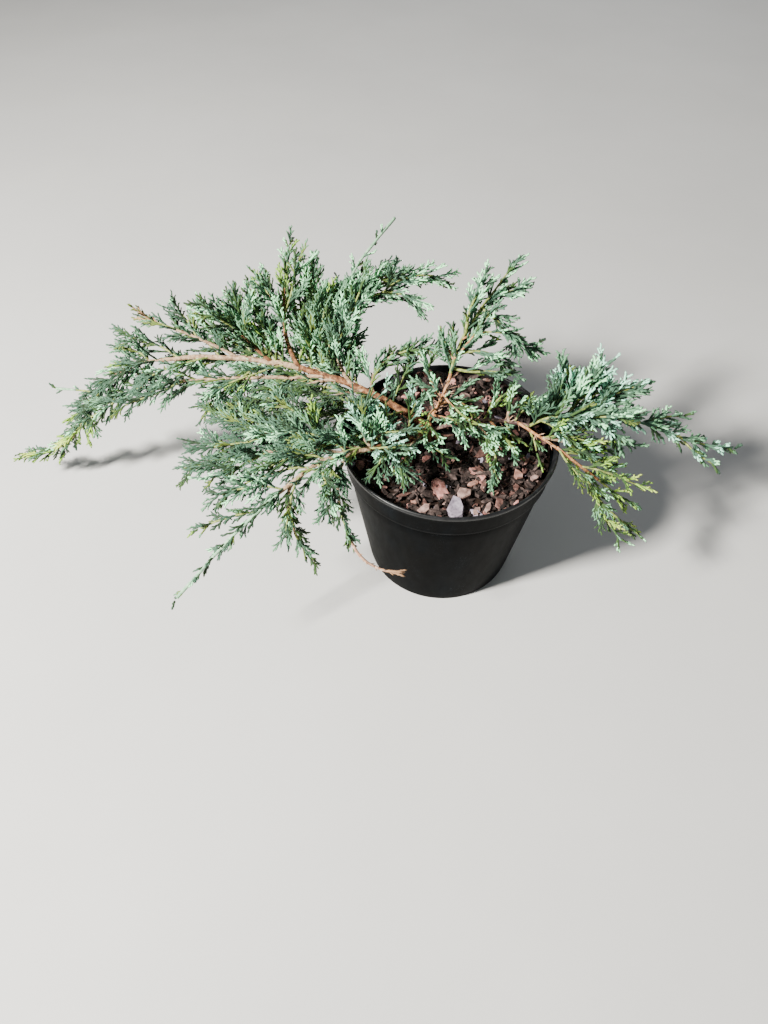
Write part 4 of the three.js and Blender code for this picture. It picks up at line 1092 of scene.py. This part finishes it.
def hides_limb(points):
    """True where a point lies just in front of a limb that the photograph shows bare."""
    from_camera = points - camera_point
    along = from_camera @ shown_rays.T
    aside = np.sqrt(np.maximum(0, (from_camera ** 2).sum(-1)[..., None] - along ** 2))
    depth = shown_distance - along
    return ((aside < SHOWN_HALF_WIDTH) & (depth > SHOWN_DEPTHS[0]) & (depth < SHOWN_DEPTHS[1])).any(-1)


def in_the_way(*rows):
    """True where a point of one of the rows is out of reach, in the pot, soil or floor, or hides a limb."""
    if len(rows) > 1:
        return np.any([in_the_way(points) for points in rows], axis=0)
    points = rows[0]
    outside = ((points < low_corner) | (points > high_corner)).any(-1)
    x, y, z = points[..., 0], points[..., 1], points[..., 2]
    reach = np.hypot(x, y)
    skin = np.where(z > band_bottom, BAND_STEP, 0)
    body = pot_radius_at(np.clip(z, 0, POT_HEIGHT))
    in_wall = (reach < body + skin + OFF_WALL) & (reach > body - POT_WALL - OFF_WALL)
    in_wall &= z < POT_HEIGHT + OFF_RIM
    in_soil = (reach <= body - POT_WALL) & (z < soil_height(x, y) + OFF_SOIL)
    return outside | in_wall | in_soil | (z < OFF_FLOOR) | hides_limb(points)


def add_cords(start, middle, end, root_radius, tip_radius, steps, shades, mass, sides=4):
    """Cords of one spray, gathered by their shades."""
    shades = np.broadcast_to(shades, len(start))
    for shade in sorted(set(shades.tolist())):
        chosen = shades == shade
        points, faces = cord_meshes(
            start[chosen], middle[chosen], end[chosen], root_radius, tip_radius, steps, sides)
        foliage.add("foliage_" + shade, points, faces, mass + "_foliage")


def grow_spray(place, tangent, axes, length, shades, mass):
    """One spray: a bowed axis, branchlets to both sides, and twiglets on each of them."""
    along, across, face = axes
    inner, outer = shades
    bold = shoot_named[mass]["bold"]
    bend = across * rng.uniform(*BEND_ACROSS) * length + face * rng.uniform(*BEND_OUT) * length
    bend += (tangent - along * tangent.dot(along)) * BEND_ON * length
    axis_at = lambda s: place + along * length * s[:, None] + bend * (s ** 2)[:, None]
    ends = axis_at(np.array([0.0, 0.5, 1.0]))
    middle = 2 * ends[1] - (ends[0] + ends[2]) / 2
    if in_the_way(ends[1:]).any():
        return
    add_cords(ends[:1], middle[None], ends[2:], AXIS_RADII[0] * bold, AXIS_RADII[1], AXIS_STEPS,
              inner, mass)

    count = max(FEWEST, int(round(length / BRANCHLET["gap"])))
    shares = np.arange(count) + rng.uniform(*JITTER, count)
    shares = BRANCHLET["first"] + BRANCHLET["run"] * shares / count
    sides = np.where(np.arange(count) % 2, 1.0, -1.0) * rng.choice([-1.0, 1.0])
    reach = length * bold * (BRANCHLET["most"] * (1 - shares) ** 0.8 + BRANCHLET["least"])
    reach = reach * rng.uniform(*BRANCHLET["varies"], count)
    start = axis_at(shares)
    aim = unit(along * length + bend * 2 * shares[:, None])
    lean, tilt = angles_in(BRANCHLET["lean"], count), angles_in(BRANCHLET["tilt"], count)
    outward = across * (sides[:, None] * np.cos(tilt)) + face * np.sin(tilt)
    outward = unit(outward - aim * (outward * aim).sum(1, keepdims=True))
    heading = unit(aim * np.cos(lean) + outward * np.sin(lean))
    later = unit(heading + aim * 0.45)
    middle = start + heading * reach[:, None] * 0.5
    end = middle + later * reach[:, None] * 0.5
    clear = ~in_the_way(start, middle, end)
    shade = np.where(shares > OUTER_FROM, outer, inner)
    add_cords(start[clear], middle[clear], end[clear], bold, BRANCHLET_TAPER * bold, BRANCHLET_STEPS,
              shade[clear], mass)

    twigs = np.maximum(1, np.round(reach / (TWIGLET["gap"] * bold)).astype(int))
    owner = np.repeat(np.arange(count), twigs)
    owner = owner[clear[owner]]
    if len(owner) == 0:
        return
    order = np.arange(len(owner)) - np.searchsorted(owner, owner)
    part = order + rng.uniform(*JITTER, len(owner))
    part = TWIGLET["first"] + TWIGLET["run"] * part / twigs[owner]
    base = ((1 - part) ** 2)[:, None] * start[owner] + (2 * part * (1 - part))[:, None] * middle[owner]
    base += (part ** 2)[:, None] * end[owner]
    aim = unit(heading[owner] * (1 - part[:, None]) + later[owner] * part[:, None])
    flat = unit(np.cross(outward[owner], aim))
    wing = unit(np.cross(aim, flat))
    tilt, lean = angles_in(TWIGLET["tilt"], len(owner)), angles_in(TWIGLET["lean"], len(owner))
    hand = np.where(order % 2, 1.0, -1.0)[:, None]
    outward = wing * hand * np.cos(tilt) + flat * np.sin(tilt)
    heading = unit(aim * np.cos(lean) + outward * np.sin(lean))
    reach = reach[owner] * (TWIGLET["most"] * (1 - part) + TWIGLET["least"]) + TWIGLET_SHORTEST
    reach = reach * rng.uniform(*TWIGLET["varies"], len(owner))
    middle = base + heading * reach[:, None] * 0.55
    end = middle + unit(heading + aim * 0.4) * reach[:, None] * 0.45
    clear = ~in_the_way(middle, end)
    fresh = (shares[owner] + part > TWIGLET_OUTER_FROM) | (rng.uniform(0, 1, len(owner)) < 0.5)
    shade = np.where(fresh, outer, inner)
    add_cords(base[clear], middle[clear], end[clear], TWIGLET_RADII[0] * bold, TWIGLET_RADII[1],
              TWIGLET_STEPS, shade[clear], mass, TWIGLET_SIDES)


def pick_shades(mass, downward, share):
    """Inner and outer shade of a spray, by its mass, with darker greens of the shaded palette underneath as
    painted shade, and browner at dead tips.
    """
    palette = shoot_named[mass]["hue"]
    if palette not in SAME_BELOW and rng.uniform() < SHADED_BELOW * downward:
        palette = "shaded"
    cells = PALETTES[palette].split()
    weights = np.array([float(cell) for cell in cells[2::3]])
    row = rng.choice(len(weights), p=weights / sum(weights.tolist()))
    if mass == DRY_MASS and share > DRY_FROM and rng.uniform() < DRY_SHARE:
        return "dead_brown", "olive"
    return cells[3 * row], cells[3 * row + 1]


def place_spray(shoot, share, azimuth, forward, roll, length):
    """One spray on a shoot, in shades of its mass."""
    at = frame_at(paths[shoot["name"]], share)
    axes = spray_axes(at, azimuth, forward, roll)
    shades = pick_shades(mass_of(shoot), 0.5 - 0.5 * math.cos(azimuth), share)
    grow_spray(at[0], at[1], axes, length, shades, mass_of(shoot))


def grow_foliage(shoot, draw):
    """The source's sprays in their own places, then shorter ones between them."""
    length, spray = shoot["length"], shoot["spray"]
    start, end = shoot["bare"] + 4 / length, 1 - 0.7 * spray / length
    count = max(2, int(math.floor((end - start) * length / SPRAY_SPACING + 0.5)))
    for i in range(count + 1):
        at_tip = i == count
        share = start + (end - start) * i / count
        size = SPRAY_TIP_SHARE if at_tip else (1 - 0.3 * share) * (0.85 + 0.25 * draw())
        size *= 1 - (1 - (shoot["slim"] or 1)) * share
        azimuth = math.radians(60 - SPRAY_TURN * (i % 3) + spread(draw, SPRAY_TURN_SPREAD))
        forward = math.radians(SPRAY_FORWARD + spread(draw, SPRAY_FORWARD_SPREAD))
        roll = math.radians(spread(draw, SPRAY_ROLL_SPREAD))
        place_spray(shoot, share, azimuth, 0.08 if at_tip else forward, roll, spray * size)
    fill_sprays(shoot)


def fill_sprays(shoot):
    """Sprays of the scene's own, all round a shoot."""
    length, spray, bare = shoot["length"], shoot["spray"], shoot["bare"]
    last = 1 - 0.22 * spray / length
    leafy = shoot["leafy"] or (LEAFY_WHEN_RISING if shoot["rise"][0] >= RISING else LEAFY_WHEN_LEVEL)
    first = bare * leafy
    fill = int((last - first) * length / shoot["gap"])
    for i in range(fill):
        share = first + (last - first) * (i + rng.uniform(*JITTER)) / fill
        azimuth = i * GOLDEN_TURN + rng.uniform(*FILL_TURN)
        if shoot["name"] == "leader" and share > LEADER_FROM:
            azimuth = math.radians(LEADER_SIDE + LEADER_RANGE * (azimuth / FULL_TURN % 1))
        room = (1 - share) * length + 0.35 * spray
        slim = shoot["slim"] or FILL_SLIM
        size = min(room, spray * (1 - (1 - slim) * share) * rng.uniform(*FILL_SIZES))
        if size >= SHORTEST_SPRAY:
            forward = rng.uniform(*FILL_FORWARD) + FOOT_FORWARD * max(0, 1 - FOOT_FADE * share)
            place_spray(shoot, share, azimuth, math.radians(forward), rng.uniform(*FILL_ROLL), size)


masses = [shoot["name"] for shoot in shoots if shoot["bare"] < 1 and not shoot["mass"]]
for number, mass in enumerate(masses):
    draw = random_from(FIRST_MASS_SEED + number)
    for shoot in shoots:
        if mass_of(shoot) == mass and shoot["spray"]:
            grow_foliage(shoot, draw)
for shoot in small_shoots:
    fill_sprays(shoot)

# The dead twig's dry pegs and the curled dry spray at its end: share of its length where each leaves,
# length, radius, and degrees round the twig and away from it
DEAD_PEGS = [
    (0.22, 5, 0.6, 40, 42), (0.3, 6, 0.6, 200, 38), (0.38, 5, 0.6, 300, 45), (0.46, 6, 0.6, 120, 40),
    (0.55, 5, 0.6, 230, 42), (0.63, 6, 0.6, 10, 38), (0.7, 5, 0.6, 160, 45), (0.78, 6, 0.7, 280, 35),
    (0.74, 17, 1.5, 20, 12), (0.78, 18, 1.7, 150, 9), (0.82, 15, 1.5, 270, 14), (0.88, 13, 1.3, 90, 10),
]
for share, length, thick, turn, forward in DEAD_PEGS:
    at = frame_at(paths["dead_twig"], share)
    along, _, face = spray_axes(at, math.radians(turn), math.radians(forward), 0.3)
    ends = [at[0], at[0] + along * length * 0.55 + face * length * 0.08, at[0] + along * length]
    add_cords(*(np.array([end]) for end in ends), thick, thick * 0.6, AXIS_STEPS, "dead_brown",
              "rim_drooping")
foliage.join(foliage_materials, foliage_slots)

bpy.context.view_layer.update()
